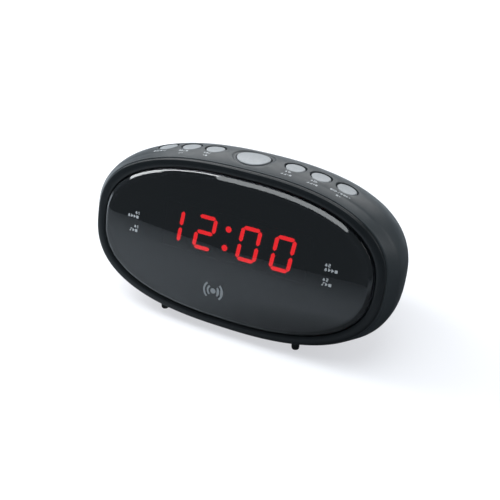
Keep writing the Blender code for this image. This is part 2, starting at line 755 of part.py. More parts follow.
def make_main_board():
    depth = MAIN_BOARD_DEPTH + MAIN_BOARD_SIZE[1] / 2
    board = box("main_board", MAIN_BOARD_SIZE, (0, depth, 0), BOARD_GREEN, FACE)
    post_x, post_up = BOARD_POST
    behind = MAIN_BOARD_DEPTH + MAIN_BOARD_SIZE[1] + SMALL_GAP
    for number, x in enumerate((-post_x, post_x), 1):
        hole = cylinder_cutter(
            f"board_hole_{number}", 1.6 * MM, 6 * MM, (x, depth, post_up), ALONG_Y, FACE, 16
        )
        boolean(board, hole, "DIFFERENCE")
        screw(f"main_board_screw_{number}", 2.6 * MM, 6 * MM, (x, behind, post_up), ALONG_Y, FACE)
    box(
        "clock_chip", (36 * MM, 3.6 * MM, 13 * MM), (-38 * MM, behind + 1.8 * MM, 8 * MM),
        PART_BLACK, FACE, 0.5 * MM,
    )
    box(
        "tuner_can", (22 * MM, 5 * MM, 13 * MM), (40 * MM, behind + 2.5 * MM, 13 * MM),
        STEEL, FACE, 0.5 * MM,
    )
    capacitors = ((12 * MM, -6 * MM, 5.0 * MM, 17 * MM), (0.0, -9 * MM, 4.0 * MM, 12 * MM))
    for number, (x, up, radius, tall) in enumerate(capacitors, 1):
        profile = (
            (0, tall - 0.3 * MM), (radius - 1.0 * MM, tall - 0.3 * MM), (radius - 0.6 * MM, tall),
            (radius, tall - 0.6 * MM), (radius, 2.4 * MM), (radius - 0.5 * MM, 1.9 * MM),
            (radius, 1.4 * MM), (radius, 0), (0, 0),
        )
        turned(f"capacitor_{number}", profile, CAPACITOR_SLEEVE, FACE, (x, behind, up), ALONG_Y)


def screw(name, head_radius, shaft_length, place, turn, parent):
    """A pan-head screw with a round socket. Its head stands on place, its shaft points down."""
    shaft = head_radius * 0.36
    tall = head_radius * 0.7
    profile = (
        (0, tall * 0.5), (shaft, tall), (head_radius * 0.8, tall),
        (head_radius, 0), (shaft, 0), (0, -shaft_length),
    )
    turned(name, profile, STEEL, parent, place, turn, 10)


# ---------------------------------------------------------------- key board

def make_key_board():
    board = box("key_board", KEY_BOARD_SIZE, KEY_BOARD_PLACE, BOARD_GREEN, UPRIGHT)
    top = KEY_BOARD_PLACE[2] + KEY_BOARD_SIZE[2] / 2
    under = KEY_BOARD_PLACE[2] - KEY_BOARD_SIZE[2] / 2 - SMALL_GAP
    for number, x in enumerate((-KEY_SCREW_X, KEY_SCREW_X), 1):
        hole = cylinder_cutter(
            f"key_hole_{number}", 1.5 * MM, 6 * MM, (x, KEY_SCREW_Y, top), segments=16
        )
        boolean(board, hole, "DIFFERENCE")
        screw(
            f"key_board_screw_{number}", 2.4 * MM, 6 * MM, (x, KEY_SCREW_Y, under),
            ALONG_MINUS_Z, UPRIGHT,
        )
    for name, x, y, _ in button_places():
        make_switch(name.replace("button", "switch"), x, y, top + SMALL_GAP / 2)


def make_switch(name, x, y, foot):
    bm = bmesh.new()
    bmesh.ops.create_cube(bm, size=1.0)
    bmesh.ops.scale(bm, vec=SWITCH_SIZE, verts=bm.verts)
    tall = SWITCH_SIZE[2]
    bmesh.ops.translate(bm, vec=(0, 0, tall / 2), verts=bm.verts)
    top = max(bm.faces, key=lambda face: face.calc_center_median().z)
    bmesh.ops.inset_region(bm, faces=[top], thickness=1.6 * MM)
    raised = bmesh.ops.extrude_face_region(bm, geom=[top])["geom"]
    bmesh.ops.delete(bm, geom=[top], context="FACES_ONLY")
    corners = [item for item in raised if isinstance(item, bmesh.types.BMVert)]
    bmesh.ops.translate(bm, vec=(0, 0, PLUNGER_HEIGHT - SMALL_GAP), verts=corners)
    add_object(name, finish_mesh(name, bm), PART_BLACK, UPRIGHT, place=(x, y, foot + SMALL_GAP / 2))


# ---------------------------------------------------------------- loudspeaker

def make_speaker():
    place = (SPEAKER_X, SPEAKER_FRONT, SPEAKER_Z)
    radius = SPEAKER_RADIUS
    basket = (
        (radius - 2.5 * MM, 0), (radius, 0), (radius, -1.2 * MM), (radius - 2.0 * MM, -1.2 * MM),
        (radius - 4.5 * MM, -6 * MM), (14 * MM, -13 * MM), (8 * MM, -13 * MM), (8 * MM, -12 * MM),
        (13.4 * MM, -12 * MM), (radius - 5.6 * MM, -5.6 * MM), (radius - 3.2 * MM, -1.2 * MM),
    )
    turned_ring("speaker_basket", basket, STEEL, UPRIGHT, place, ALONG_Y, 24)
    cone = (
        (0, -6.4 * MM), (3.6 * MM, -7.2 * MM), (6.0 * MM, -9.0 * MM), (20.0 * MM, -1.6 * MM),
        (20.0 * MM, -2.3 * MM), (6.4 * MM, -9.6 * MM), (6.4 * MM, -10.6 * MM), (5.8 * MM, -10.6 * MM),
        (5.4 * MM, -9.4 * MM), (3.2 * MM, -7.8 * MM), (0, -7.1 * MM),
    )
    turned("speaker_cone", cone, CONE_PAPER, UPRIGHT, place, ALONG_Y, 20)
    magnet = (
        (0, -13.3 * MM), (12.4 * MM, -13.3 * MM), (12.4 * MM, -14.6 * MM), (13.0 * MM, -14.6 * MM),
        (13.0 * MM, -19.5 * MM), (12.0 * MM, -19.5 * MM), (12.0 * MM, -21.0 * MM), (0, -21.0 * MM),
    )
    turned("speaker_magnet", magnet, FERRITE, UPRIGHT, place, ALONG_Y, 20)
    under_rim = SPEAKER_FRONT - 1.2 * MM - SMALL_GAP
    for number, (x, z) in enumerate(speaker_screw_places(), 1):
        screw(
            f"speaker_screw_{number}", 3.6 * MM, 6 * MM, (x, under_rim, z), ALONG_MINUS_Y, UPRIGHT
        )


# ---------------------------------------------------------------- transformer

def make_transformer():
    """An E-I core on two lugs, with its coil wound round the middle limb."""
    size_x, size_y, size_z = CORE_SIZE
    x, y, z = CORE_PLACE
    core = box("transformer_core", CORE_SIZE, CORE_PLACE, CORE_STEEL, UPRIGHT)
    lugs_y = LUG_Y + 1.2 * MM
    lugs = box_cutter(
        "core_lugs",
        (2 * LUG_X + 6 * MM, 9 * MM, 2.2 * MM),
        (x, lugs_y, z - size_z / 2 - 0.1 * MM),
    )
    boolean(core, lugs, "UNION")
    limb = 10 * MM
    window_x, window_z = 6.4 * MM, 17.0 * MM
    shift = limb / 2 + window_x / 2
    for number, side in enumerate((-1, 1), 1):
        window = box_cutter(
            f"core_window_{number}", (window_x, 4 * size_y, window_z), (x + side * shift, y, z)
        )
        boolean(core, window, "DIFFERENCE")
        hole = cylinder_cutter(
            f"lug_hole_{number}", 1.5 * MM, 8 * MM, (x + side * LUG_X, LUG_Y, z - size_z / 2),
            segments=12,
        )
        boolean(core, hole, "DIFFERENCE")
        screw_top = z - size_z / 2 + 1.0 * MM + SMALL_GAP
        screw(
            f"transformer_screw_{number}", 2.4 * MM, 5.4 * MM,
            (x + side * LUG_X, LUG_Y, screw_top), (0, 0, 0), UPRIGHT,
        )
    coil_wide = limb + 2 * window_x - 2 * SMALL_GAP
    coil = box(
        "transformer_winding", (coil_wide, 24 * MM, window_z - 2 * SMALL_GAP), CORE_PLACE,
        COPPER_TAPE, UPRIGHT, 1.0 * MM,
    )
    limb_space = box_cutter(
        "limb_space", (limb + 2 * SMALL_GAP, size_y + 2 * SMALL_GAP, 30 * MM), CORE_PLACE
    )
    boolean(coil, limb_space, "DIFFERENCE")


# ---------------------------------------------------------------- battery bay

def make_cells():
    bay_x, bay_y = BAY_PLACE
    half = CELL_LENGTH / 2
    profile = (
        (0, half), (1.9 * MM, half), (1.9 * MM, half - 1.0 * MM),
        (CELL_RADIUS - 0.5 * MM, half - 1.0 * MM), (CELL_RADIUS, half - 1.5 * MM),
        (CELL_RADIUS, 0.5 * MM - half), (CELL_RADIUS - 0.5 * MM, -half), (0, -half),
    )
    height = 15.1 * MM
    for number, (side, turn) in enumerate(((-1, ALONG_X), (1, (0, -math.pi / 2, 0))), 1):
        place = (bay_x, bay_y + side * 5.6 * MM, height)
        turned(f"backup_cell_{number}", profile, CELL_SLEEVE, UPRIGHT, place, turn, 16)
    reach = BAY_SIZE[0] / 2 - 0.5 * MM
    for side, name in ((-1, "left"), (1, "right")):
        strip_contact(f"cell_contact_{name}", bay_x + side * reach, -side, bay_y, height)


def strip_contact(name, x, inward, y, height):
    """A springy strip against one end wall of the bay, bowed towards the cells."""
    thick = 0.4 * MM
    half_wide = 9.6 * MM
    bow = 4.4 * MM
    tall = 8.0 * MM
    steps = 8
    rings = []
    for i in range(steps + 1):
        up = height - tall / 2 + tall * i / steps
        out = bow * math.sin(math.pi * i / steps) ** 2
        near = x + inward * out
        far = near + inward * thick
        rings.append([
            (near, y - half_wide, up), (near, y + half_wide, up),
            (far, y + half_wide, up), (far, y - half_wide, up),
        ])
    loft(name, rings, STEEL, UPRIGHT)


# ---------------------------------------------------------------- outside fittings

def gland(name, place, hole, bore):
    x, z = place
    outside = 1.8 * MM
    inside = WALL + 1.6 * MM
    neck = hole - SMALL_GAP
    lip = hole + 1.8 * MM
    profile = (
        (bore, outside), (lip - 0.8 * MM, outside), (lip, outside - 0.8 * MM), (lip, SMALL_GAP),
        (neck, SMALL_GAP), (neck, -WALL - SMALL_GAP), (lip, -WALL - SMALL_GAP), (lip, -inside),
        (bore, -inside),
    )
    turned_ring(name, profile, RUBBER, UPRIGHT, (x, BACK_DEPTH, z), ALONG_Y, 28)


def make_outside(surface, rear_surface):
    gland("mains_cable_gland", GLAND_PLACE, GLAND_HOLE, GLAND_BORE)
    gland("aerial_grommet", AERIAL_PLACE, AERIAL_HOLE, AERIAL_BORE)
    box(
        "rating_plate", (34 * MM, 0.4 * MM, 12 * MM),
        (17 * MM, BACK_DEPTH + SMALL_GAP + 0.2 * MM, 51.5 * MM), LABEL_SILVER, UPRIGHT,
    )
    for side, name in ((-1, "left"), (1, "right")):
        foot(f"front_foot_{name}", side, FRONT_FEET, FRONT_FOOT_HALF, surface)
        foot(f"rear_foot_{name}", side, REAR_FEET, REAR_FOOT_HALF, rear_surface)
    for number, (x, z) in enumerate(CASE_POSTS, 1):
        lean = (z - FACE_Z) * math.tan(FACE_LEAN)
        head_seat = lean + REAR_SEAM_DEPTH + SMALL_GAP + 2.6 * MM + SMALL_GAP
        screw(f"case_screw_{number}", 3.0 * MM, 9 * MM, (x, head_seat, z), ALONG_Y, UPRIGHT)


def foot(name, side, place, half, surface):
    """A tapered rubber foot whose top follows the underside of the case."""
    def under_case(px, py):
        return height_below(surface, px, py) - SMALL_GAP

    x, y = side * place[0], place[1]
    half_x, half_y = half
    middle = under_case(x, y)
    heights = (
        (0.80, lambda px, py: 0.0),
        (0.86, lambda px, py: 0.5 * MM),
        (0.88, lambda px, py: middle * 0.5),
        (1.0, under_case),
    )
    rings = [ellipse_ring(x, y, half_x * k, half_y * k, height, 32) for k, height in heights]
    loft(name, rings, RUBBER, UPRIGHT)


def main():
    surface, rear_surface = make_casings()
    make_bezel()
    make_lens()
    make_display()
    make_main_board()
    make_key_board()
    make_speaker()
    make_transformer()
    make_cells()
    make_outside(surface, rear_surface)


main()
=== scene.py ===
"""Looks for the clock radio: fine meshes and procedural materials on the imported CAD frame."""

import math

import bmesh
import bpy
from mathutils import Matrix, Vector
from mathutils.bvhtree import BVHTree


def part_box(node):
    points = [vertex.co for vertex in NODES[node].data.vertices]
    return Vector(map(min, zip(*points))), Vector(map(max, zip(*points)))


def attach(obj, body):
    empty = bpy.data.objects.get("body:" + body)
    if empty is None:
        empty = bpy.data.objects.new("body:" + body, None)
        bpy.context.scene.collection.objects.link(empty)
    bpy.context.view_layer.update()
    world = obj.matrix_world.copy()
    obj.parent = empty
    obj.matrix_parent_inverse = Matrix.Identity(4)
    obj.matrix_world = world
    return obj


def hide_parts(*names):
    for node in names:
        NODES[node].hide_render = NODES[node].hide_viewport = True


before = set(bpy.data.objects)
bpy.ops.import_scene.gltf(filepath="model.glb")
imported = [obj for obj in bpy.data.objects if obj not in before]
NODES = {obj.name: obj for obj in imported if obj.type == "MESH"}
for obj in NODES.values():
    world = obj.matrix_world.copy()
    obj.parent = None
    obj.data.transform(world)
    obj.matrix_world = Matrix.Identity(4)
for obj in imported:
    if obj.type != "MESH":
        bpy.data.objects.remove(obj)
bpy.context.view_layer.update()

MM = 0.001

# The case's sizes, as the CAD source has them.
FACE_HALF_WIDTH = 81.0 * MM
FACE_HALF_HEIGHT = 43.5 * MM
FACE_POWER = 2.54
FACE_LEAN = math.radians(16.75)
FACE_Z = 46.2 * MM
FACE_Y = -23.65 * MM
LENS_HALF_WIDTH = 74.8 * MM
LENS_HALF_HEIGHT = 37.8 * MM
LENS_POWER = 2.47
LENS_BACK = -0.5 * MM
LENS_WALL_TOP = 2.4 * MM
LENS_EDGE_RADIUS = 1.8 * MM
LENS_CROWN = 3.0 * MM
LENS_THICKNESS = 2.2 * MM
WALL = 2.2 * MM
REAR_SEAM_DEPTH = 34.0 * MM
SEAM_GAP = 0.3 * MM
BACK_DEPTH = 60.0 * MM
BACK_HALF_WIDTH = 44.0 * MM
BACK_HALF_HEIGHT = 20.0 * MM
BACK_Z = 42.0 * MM
SIDE_SLOPE = 0.607
SIDE_CREASE_DEPTH = 7.0 * MM
SIDE_CREST = 7.0 * MM
SIDE_CREST_RISE = 1.0 * MM
SIDE_ROUND_REACH = 20 * MM
TOP_FLARE = (0.152, -12.5)
BOTTOM_FLARE = (0.014, -1.5)
CORNER_DEPTH = 6.0 * MM
TOP_POWER = 2.34
BOTTOM_POWER = 2.78
BUTTON_ROW_DEPTH = 13.9 * MM
SNOOZE_HALF = (8.9 * MM, 7.9 * MM)
SNOOZE_FORWARD = 1.4 * MM
SMALL_BUTTON_HALF = (4.97 * MM, 4.97 * MM)
SMALL_BUTTON_X = (22.2 * MM, 36.0 * MM, 49.8 * MM)
ROW_BOW = 0.8 * MM
BUTTON_SINK = 0.35 * MM
BUTTON_GAP = 0.65 * MM
HOLE_SETBACK = 0.25 * MM
FLANGE_WIDTH = 1.3 * MM
DISPLAY_UP = 5.4 * MM
DISPLAY_SIZE = (80 * MM, 8.0 * MM, 24 * MM)
DISPLAY_FRONT = 1.2 * MM
WINDOW_SIZE = (81.5 * MM, 10 * MM, 25.5 * MM)
LAMP_X = 50.0 * MM
LAMP_UP = (5.6 * MM, -2.0 * MM)
CASE_POSTS = ((60 * MM, 62 * MM), (60 * MM, 27 * MM), (-60 * MM, 62 * MM), (-60 * MM, 27 * MM))
SPEAKER = (-34 * MM, 42.8 * MM, 43 * MM)
BAY_PLACE = (-12 * MM, 10.5 * MM)
BAY_SIZE = (56 * MM, 23.5 * MM)
BAY_ROOF = 20.7 * MM
BAY_WALL = 1.5 * MM
DOOR_REAR_GAP = 0.8 * MM
GLAND = (26 * MM, 37 * MM)
AERIAL = (8 * MM, 37 * MM)

AROUND = 176
UPRIGHT = Matrix.Translation((0, FACE_Y, 0))
FACE = Matrix.Translation((0, FACE_Y, FACE_Z)) @ Matrix.Rotation(-FACE_LEAN, 4, "X")
ALONG_X = Matrix.Rotation(math.pi / 2, 4, "Y")
ALONG_Y = Matrix.Rotation(-math.pi / 2, 4, "X")


# ---------------------------------------------------------------- mesh tools

def new_object(name, data):
    made = bpy.data.objects.new(name, data)
    bpy.context.scene.collection.objects.link(made)
    return made


def mesh_object(name, bm, place=UPRIGHT, sharp=32.0):
    bmesh.ops.recalc_face_normals(bm, faces=bm.faces)
    mesh = bpy.data.meshes.new(name)
    bm.to_mesh(mesh)
    bm.free()
    mesh.transform(place)
    shade(mesh, sharp)
    return new_object(name, mesh)


def shade(mesh, sharp=32.0):
    mesh.shade_smooth()
    mesh.set_sharp_from_angle(angle=math.radians(sharp))


def loft(name, rings, place=UPRIGHT, ring_shaped=False, sharp=32.0):
    """A skin through rings of equal count: capped at both ends, or closed on itself."""
    bm = bmesh.new()
    loops = [[bm.verts.new(point) for point in ring] for ring in rings]
    pairs = list(zip(loops, loops[1:]))
    if ring_shaped:
        pairs.append((loops[-1], loops[0]))
    for first, second in pairs:
        for i in range(len(first)):
            j = (i + 1) % len(first)
            bm.faces.new((first[i], first[j], second[j], second[i]))
    if not ring_shaped:
        bm.faces.new(loops[0])
        bm.faces.new(loops[-1])
    bmesh.ops.triangulate(bm, faces=bm.faces)
    return mesh_object(name, bm, place, sharp)


def box(name, size, middle, place=UPRIGHT, round_edges=0.0, only_upright=False, segments=3):
    bm = bmesh.new()
    bmesh.ops.create_cube(bm, size=1.0)
    bmesh.ops.scale(bm, vec=size, verts=bm.verts)
    if round_edges:
        def upright(edge):
            return abs((edge.verts[0].co - edge.verts[1].co).normalized().z) > 0.9
        edges = [e for e in bm.edges if upright(e) or not only_upright]
        bmesh.ops.bevel(bm, geom=edges, offset=round_edges, segments=segments, profile=0.5, affect="EDGES")
    bmesh.ops.translate(bm, vec=middle, verts=bm.verts)
    return mesh_object(name, bm, place)


def cylinder(name, radius, length, middle, place=UPRIGHT, turn=ALONG_Y, segments=48):
    bm = bmesh.new()
    bmesh.ops.create_cone(
        bm, cap_ends=True, segments=segments, radius1=radius, radius2=radius, depth=length,
        matrix=Matrix.Translation(middle) @ turn,
    )
    return mesh_object(name, bm, place)


def turned(name, profile, place, steps=48, closed=False, sharp=40.0):
    """A profile of (radius, height) points turned about Z. Points on the axis close it."""
    bm = bmesh.new()
    columns = []
    for i in range(steps):
        angle = 2 * math.pi * i / steps
        columns.append([
            None if radius == 0 else bm.verts.new((radius * math.cos(angle), radius * math.sin(angle), height))
            for radius, height in profile
        ])
    poles = {k: bm.verts.new((0, 0, h)) for k, (r, h) in enumerate(profile) if r == 0}
    links = list(zip(range(len(profile)), range(1, len(profile))))
    if closed:
        links.append((len(profile) - 1, 0))
    for i in range(steps):
        here, there = columns[i], columns[(i + 1) % steps]
        for a, b in links:
            corners = [here[a] or poles[a], there[a] or poles[a], there[b] or poles[b], here[b] or poles[b]]
            unique = list(dict.fromkeys(corners))
            if len(unique) > 2:
                bm.faces.new(unique)
    return mesh_object(name, bm, place, sharp)


def combine(thing, others, operation, sharp=32.0):
    """Applies a Boolean with each of the others, which are used up."""
    for other in others:
        step = thing.modifiers.new("step", "BOOLEAN")
        step.operation = operation
        step.object = other
        step.solver = "EXACT"
    bpy.context.view_layer.update()
    view = bpy.context.evaluated_depsgraph_get()
    mesh = bpy.data.meshes.new_from_object(thing.evaluated_get(view))
    thing.modifiers.clear()
    thing.data = mesh
    shade(mesh, sharp)
    for other in others:
        bpy.data.objects.remove(other)
    return thing


def dress(thing, look, body="case", replaces=()):
    """Gives a finished piece its material and puts it on its CAD body."""
    thing.data.materials.clear()
    for material in look if isinstance(look, (list, tuple)) else [look]:
        thing.data.materials.append(material)
    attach(thing, body)
    if replaces:
        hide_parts(*replaces)
    return thing


# ---------------------------------------------------------------- shape of the case

def unit_oval(power, lower_power=None, count=AROUND):
    for i in range(count):
        angle = 2 * math.pi * i / count
        across, up = math.cos(angle), math.sin(angle)
        share = 2 / (lower_power if lower_power and up < 0 else power)
        yield math.copysign(abs(across) ** share, across), math.copysign(abs(up) ** share, up)


def side_flare(depth):
    if depth < SIDE_CREASE_DEPTH:
        return SIDE_SLOPE * depth
    past = depth - SIDE_CREASE_DEPTH
    start = SIDE_SLOPE * SIDE_CREASE_DEPTH
    if past < SIDE_CREST:
        return start + SIDE_CREST_RISE * (1 - (1 - past / SIDE_CREST) ** 2)
    fall = math.hypot(1, (past - SIDE_CREST) / SIDE_ROUND_REACH) - 1
    return start + SIDE_CREST_RISE - SIDE_ROUND_REACH * fall


def crown_flare(depth, shape):
    slope, bend = shape
    return slope * depth + bend * depth ** 2


def case_oval(depth):
    share = min(depth / CORNER_DEPTH, 1)
    top = FACE_POWER + (TOP_POWER - FACE_POWER) * share
    bottom = FACE_POWER + (BOTTOM_POWER - FACE_POWER) * share
    return unit_oval(top, bottom)


def case_ring(depth, inset=0.0):
    """The case's outline this far behind the face's plane, shrunk by inset."""
    half_width = FACE_HALF_WIDTH + side_flare(depth) - inset
    upright = FACE_HALF_HEIGHT * math.cos(FACE_LEAN)
    up = upright + crown_flare(depth, TOP_FLARE) - inset
    down = upright + crown_flare(depth, BOTTOM_FLARE) - inset
    ring = []
    for across, along in case_oval(depth):
        lean = (upright - inset) * along * math.tan(FACE_LEAN)
        height = along * (up if along > 0 else down)
        ring.append(Vector((half_width * across, lean + depth, FACE_Z + height)))
    return ring


def rear_ring(fraction, inset=0.0):
    """The rear cover's outline, from the rear seam (0) to the flat back panel (1)."""
    start_depth = REAR_SEAM_DEPTH + SEAM_GAP
    probe = 0.5 * MM
    ring = []
    outlines = zip(case_ring(start_depth, inset), case_ring(start_depth + probe, inset), case_oval(start_depth))
    for start, ahead, (across, along) in outlines:
        end = Vector((
            (BACK_HALF_WIDTH - inset) * across,
            BACK_DEPTH - inset,
            BACK_Z + (BACK_HALF_HEIGHT - inset) * along,
        ))
        leave = start + (ahead - start) / probe * (end.y - start.y) * 0.6
        arrive = end + 0.6 * Vector((start.x - end.x, 0, start.z - end.z))
        rest = 1 - fraction
        ring.append(
            rest ** 3 * start
            + 3 * rest ** 2 * fraction * leave
            + 3 * rest * fraction ** 2 * arrive
            + fraction ** 3 * end
        )
    return ring


def face_ring(share, forward):
    """An oval in the face's frame, from the case seam (share 0) to the lens outline (share 1)."""
    half_width = FACE_HALF_WIDTH + (LENS_HALF_WIDTH - FACE_HALF_WIDTH) * share
    half_height = FACE_HALF_HEIGHT + (LENS_HALF_HEIGHT - FACE_HALF_HEIGHT) * share
    power = FACE_POWER + (LENS_POWER - FACE_POWER) * share
    return [(half_width * a, -forward, half_height * b) for a, b in unit_oval(power)]


def lens_ring(inset, forward):
    return [
        ((LENS_HALF_WIDTH - inset) * a, -forward, (LENS_HALF_HEIGHT - inset) * b)
        for a, b in unit_oval(LENS_POWER)
    ]


def crown_height(scale):
    return LENS_WALL_TOP + LENS_EDGE_RADIUS + LENS_CROWN * (1 - scale ** 2)


def crown_ring(scale, under=0.0):
    inner_width = LENS_HALF_WIDTH - LENS_EDGE_RADIUS
    inner_height = LENS_HALF_HEIGHT - LENS_EDGE_RADIUS
    return [
        (inner_width * scale * a, under - crown_height(scale), inner_height * scale * b)
        for a, b in unit_oval(LENS_POWER)
    ]


def on_lens(x, up, lift):
    """A point on the lens's front, in the shared frame."""
    across = abs(x) / (LENS_HALF_WIDTH - LENS_EDGE_RADIUS)
    along = abs(up) / (LENS_HALF_HEIGHT - LENS_EDGE_RADIUS)
    scale = (across ** LENS_POWER + along ** LENS_POWER) ** (1 / LENS_POWER)
    return FACE @ Vector((x, -crown_height(scale) - lift, up))


# The housing's skin before its holes are cut, which make_housing sets.
HOUSING_SURFACE = None


def skin_tree(thing):
    mesh = thing.data
    return BVHTree.FromPolygons([v.co.copy() for v in mesh.vertices], [tuple(f.vertices) for f in mesh.polygons])


def top_height(x, y):
    """Height of the housing's top above a point, with y measured from the middle of the face."""
    return HOUSING_SURFACE.ray_cast(Vector((x, y + FACE_Y, 1.0)), Vector((0, 0, -1)))[0].z


def over(lift):
    """Heights this far above the housing's skin."""
    return lambda x, y: top_height(x, y) + lift


def ellipse_ring(x, y, half_x, half_y, height_at, count=72):
    ring = []
    for i in range(count):
        angle = 2 * math.pi * i / count
        px, py = x + half_x * math.cos(angle), y + half_y * math.sin(angle)
        ring.append((px, py, height_at(px, py)))
    return ring


def button_places():
    row = FACE_HALF_HEIGHT * math.sin(FACE_LEAN) + BUTTON_ROW_DEPTH
    yield "snooze_button", 0.0, row - SNOOZE_FORWARD, SNOOZE_HALF
    for side, name in ((-1, "left"), (1, "right")):
        for number, x in enumerate(SMALL_BUTTON_X, 1):
            y = row - ROW_BOW * (x / SMALL_BUTTON_X[2]) ** 2
            yield f"{name}_button_{number}", side * x, y, SMALL_BUTTON_HALF


# ---------------------------------------------------------------- materials

def shader_nodes(name, colour, roughness, metallic=0.0):
    """A new material with its Principled shader, and noise that reads real positions in metres."""
    made = bpy.data.materials.new(name)
    made.use_nodes = True
    shader = made.node_tree.nodes["Principled BSDF"]
    shader.inputs["Base Color"].default_value = (*colour, 1.0)
    shader.inputs["Roughness"].default_value = roughness
    shader.inputs["Metallic"].default_value = metallic
    return made, shader, add_node(shader, "TexCoord").outputs["Object"]


def add_node(near, kind, settings=()):
    """A node in the tree that near belongs to, with values for some of its inputs."""
    made = near.id_data.nodes.new("ShaderNode" + kind)
    for socket, value in dict(settings).items():
        made.inputs[socket].default_value = value
    return made


def feed(node, socket, value):
    node.id_data.links.new(value, node.inputs[socket])


def noise(place, scale, detail=3.0, roughness=0.5, stretch=None):
    if stretch:
        mapping = add_node(place, "Mapping", {"Scale": stretch})
        feed(mapping, "Vector", place)
        place = mapping.outputs["Vector"]
    made = add_node(place, "TexNoise", {"Scale": scale, "Detail": detail, "Roughness": roughness})
    feed(made, "Vector", place)
    return made.outputs["Fac"]


def cells(place, scale, output="Distance"):
    made = add_node(place, "TexVoronoi", {"Scale": scale})
    feed(made, "Vector", place)
    return made.outputs[output]


def spread(value, low, high, from_low=0.3, from_high=0.7):
    made = add_node(value, "MapRange", {"From Min": from_low, "From Max": from_high, "To Min": low, "To Max": high})
    feed(made, "Value", value)
    return made.outputs["Result"]


def calculate(operation, first, second=None):
    """A Math node of a value, alone or with a number or another value."""
    made = add_node(first, "Math")
    made.operation = operation
    feed(made, 0, first)
    if isinstance(second, float):
        made.inputs[1].default_value = second
    elif second:
        feed(made, 1, second)
    return made.outputs[0]


def blend_colours(factor, low, high):
    made = add_node(factor, "Mix")
    made.data_type = "RGBA"
    for socket, colour in ((6, low), (7, high)):
        if isinstance(colour, tuple):
            made.inputs[socket].default_value = (*colour, 1.0)
        else:
            feed(made, socket, colour)
    feed(made, 0, factor)
    return made.outputs[2]


def bump(shader, value, height, strength=1.0, under=None):
    made = add_node(shader, "Bump", {"Strength": strength, "Distance": height})
    feed(made, "Height", value)
    if under:
        feed(made, "Normal", under.outputs["Normal"])
    feed(shader, "Normal", made.outputs["Normal"])
    return made


def camera_sees(output, seen, otherwise):
    """Gives the camera's own rays one shader, and all other rays the other."""
    mix = add_node(output, "MixShader")
    feed(mix, 0, add_node(output, "LightPath").outputs["Is Camera Ray"])
    feed(mix, 1, otherwise.outputs[0])
    feed(mix, 2, seen.outputs[0])
    feed(output, "Surface", mix.outputs[0])


def shades(colour, low, high):
    return tuple(c * low for c in colour), tuple(c * high for c in colour)


def moulded(name, colour, roughness, grain=2600, grain_height=0.012 * MM, shine=0.5):
    """Moulded plastic: spark-eroded grain, slow shade variation, and edges rubbed a little paler."""
    made, shader, place = shader_nodes(name, colour, roughness)
    cloud = noise(place, 45, 4)
    low, high = shades(colour, 0.9, 1.12)
    varied = blend_colours(spread(cloud, 0, 1), low, high)
    worn = spread(add_node(shader, "NewGeometry").outputs["Pointiness"], 0, 0.35, 0.52, 0.62)
    pale = tuple(min(c * 1.25 + 0.001, 1) for c in colour)
    feed(shader, "Base Color", blend_colours(worn, varied, pale))
    rubbed = noise(place, 160, 3)
    feed(shader, "Roughness", spread(rubbed, roughness * 0.88, roughness * 1.12))
    coarse = bump(shader, noise(place, 420, 2), 0.010 * MM, 0.4)
    bump(shader, cells(place, grain), grain_height, 0.6, coarse)
    shader.inputs["Specular IOR Level"].default_value = shine
    return made


def glossy_black(name, colour, roughness):
    """Polished moulding: a faint orange-peel swell, and hairline scratches in its roughness."""
    made, shader, place = shader_nodes(name, colour, roughness)
    low, high = shades(colour, 0.85, 1.2)
    cloud = spread(noise(place, 60), 0, 1)
    feed(shader, "Base Color", blend_colours(cloud, low, high))
    scratches = noise(place, 300, 3)
    feed(shader, "Roughness", spread(scratches, roughness * 0.92, roughness * 1.1))
    shader.inputs["Specular IOR Level"].default_value = 0.26
    bump(shader, noise(place, 160, 1), 0.001 * MM, 0.3)
    return made


def smoked_lens():
    made, shader, place = shader_nodes("smoked_acrylic", (0.05, 0.05, 0.056), 0.03)
    shader.inputs["Transmission Weight"].default_value = 1.0
    shader.inputs["IOR"].default_value = 1.56
    smudge = noise(place, 70, 5, 0.65)
    feed(shader, "Roughness", spread(smudge, 0.02, 0.035, 0.45, 0.8))
    return made


def metal_paint(name, colour, roughness):
    """Silver paint on a cap: fine flakes in colour and roughness under a satin surface."""
    made, shader, place = shader_nodes(name, colour, roughness, 0.25)
    flakes = cells(place, 5200, "Color")
    split = add_node(shader, "SeparateColor")
    feed(split, "Color", flakes)
    low, high = shades(colour, 0.88, 1.1)
    feed(shader, "Base Color", blend_colours(split.outputs["Red"], low, high))
    rubbed = noise(place, 300, 3)
    feed(shader, "Roughness", spread(rubbed, roughness * 0.85, roughness * 1.15))
    bump(shader, split.outputs["Green"], 0.003 * MM, 0.35)
    return made


def rubber():
    made, shader, place = shader_nodes("soft_rubber", (0.018, 0.018, 0.019), 0.78)
    patches = spread(noise(place, 500, 5), 0, 1)
    feed(shader, "Base Color", blend_colours(patches, (0.012, 0.012, 0.012), (0.03, 0.03, 0.031)))
    bump(shader, noise(place, 3200, 3), 0.03 * MM, 0.6)
    return made


def metal(name, colour, roughness, stretch=(1, 1, 1), scale=900):
    """Rolled or plated metal: streaks along one way, and a dull cast in patches."""
    made, shader, place = shader_nodes(name, colour, roughness, 1.0)
    streaks = noise(place, scale, 4, 0.6, stretch)
    low, high = shades(colour, 0.78, 1.12)
    patches = spread(noise(place, 90, 3), 0, 1)
    feed(shader, "Base Color", blend_colours(patches, low, high))
    feed(shader, "Roughness", spread(streaks, roughness * 0.7, roughness * 1.4))
    bump(shader, streaks, 0.01 * MM, 0.4)
    return made


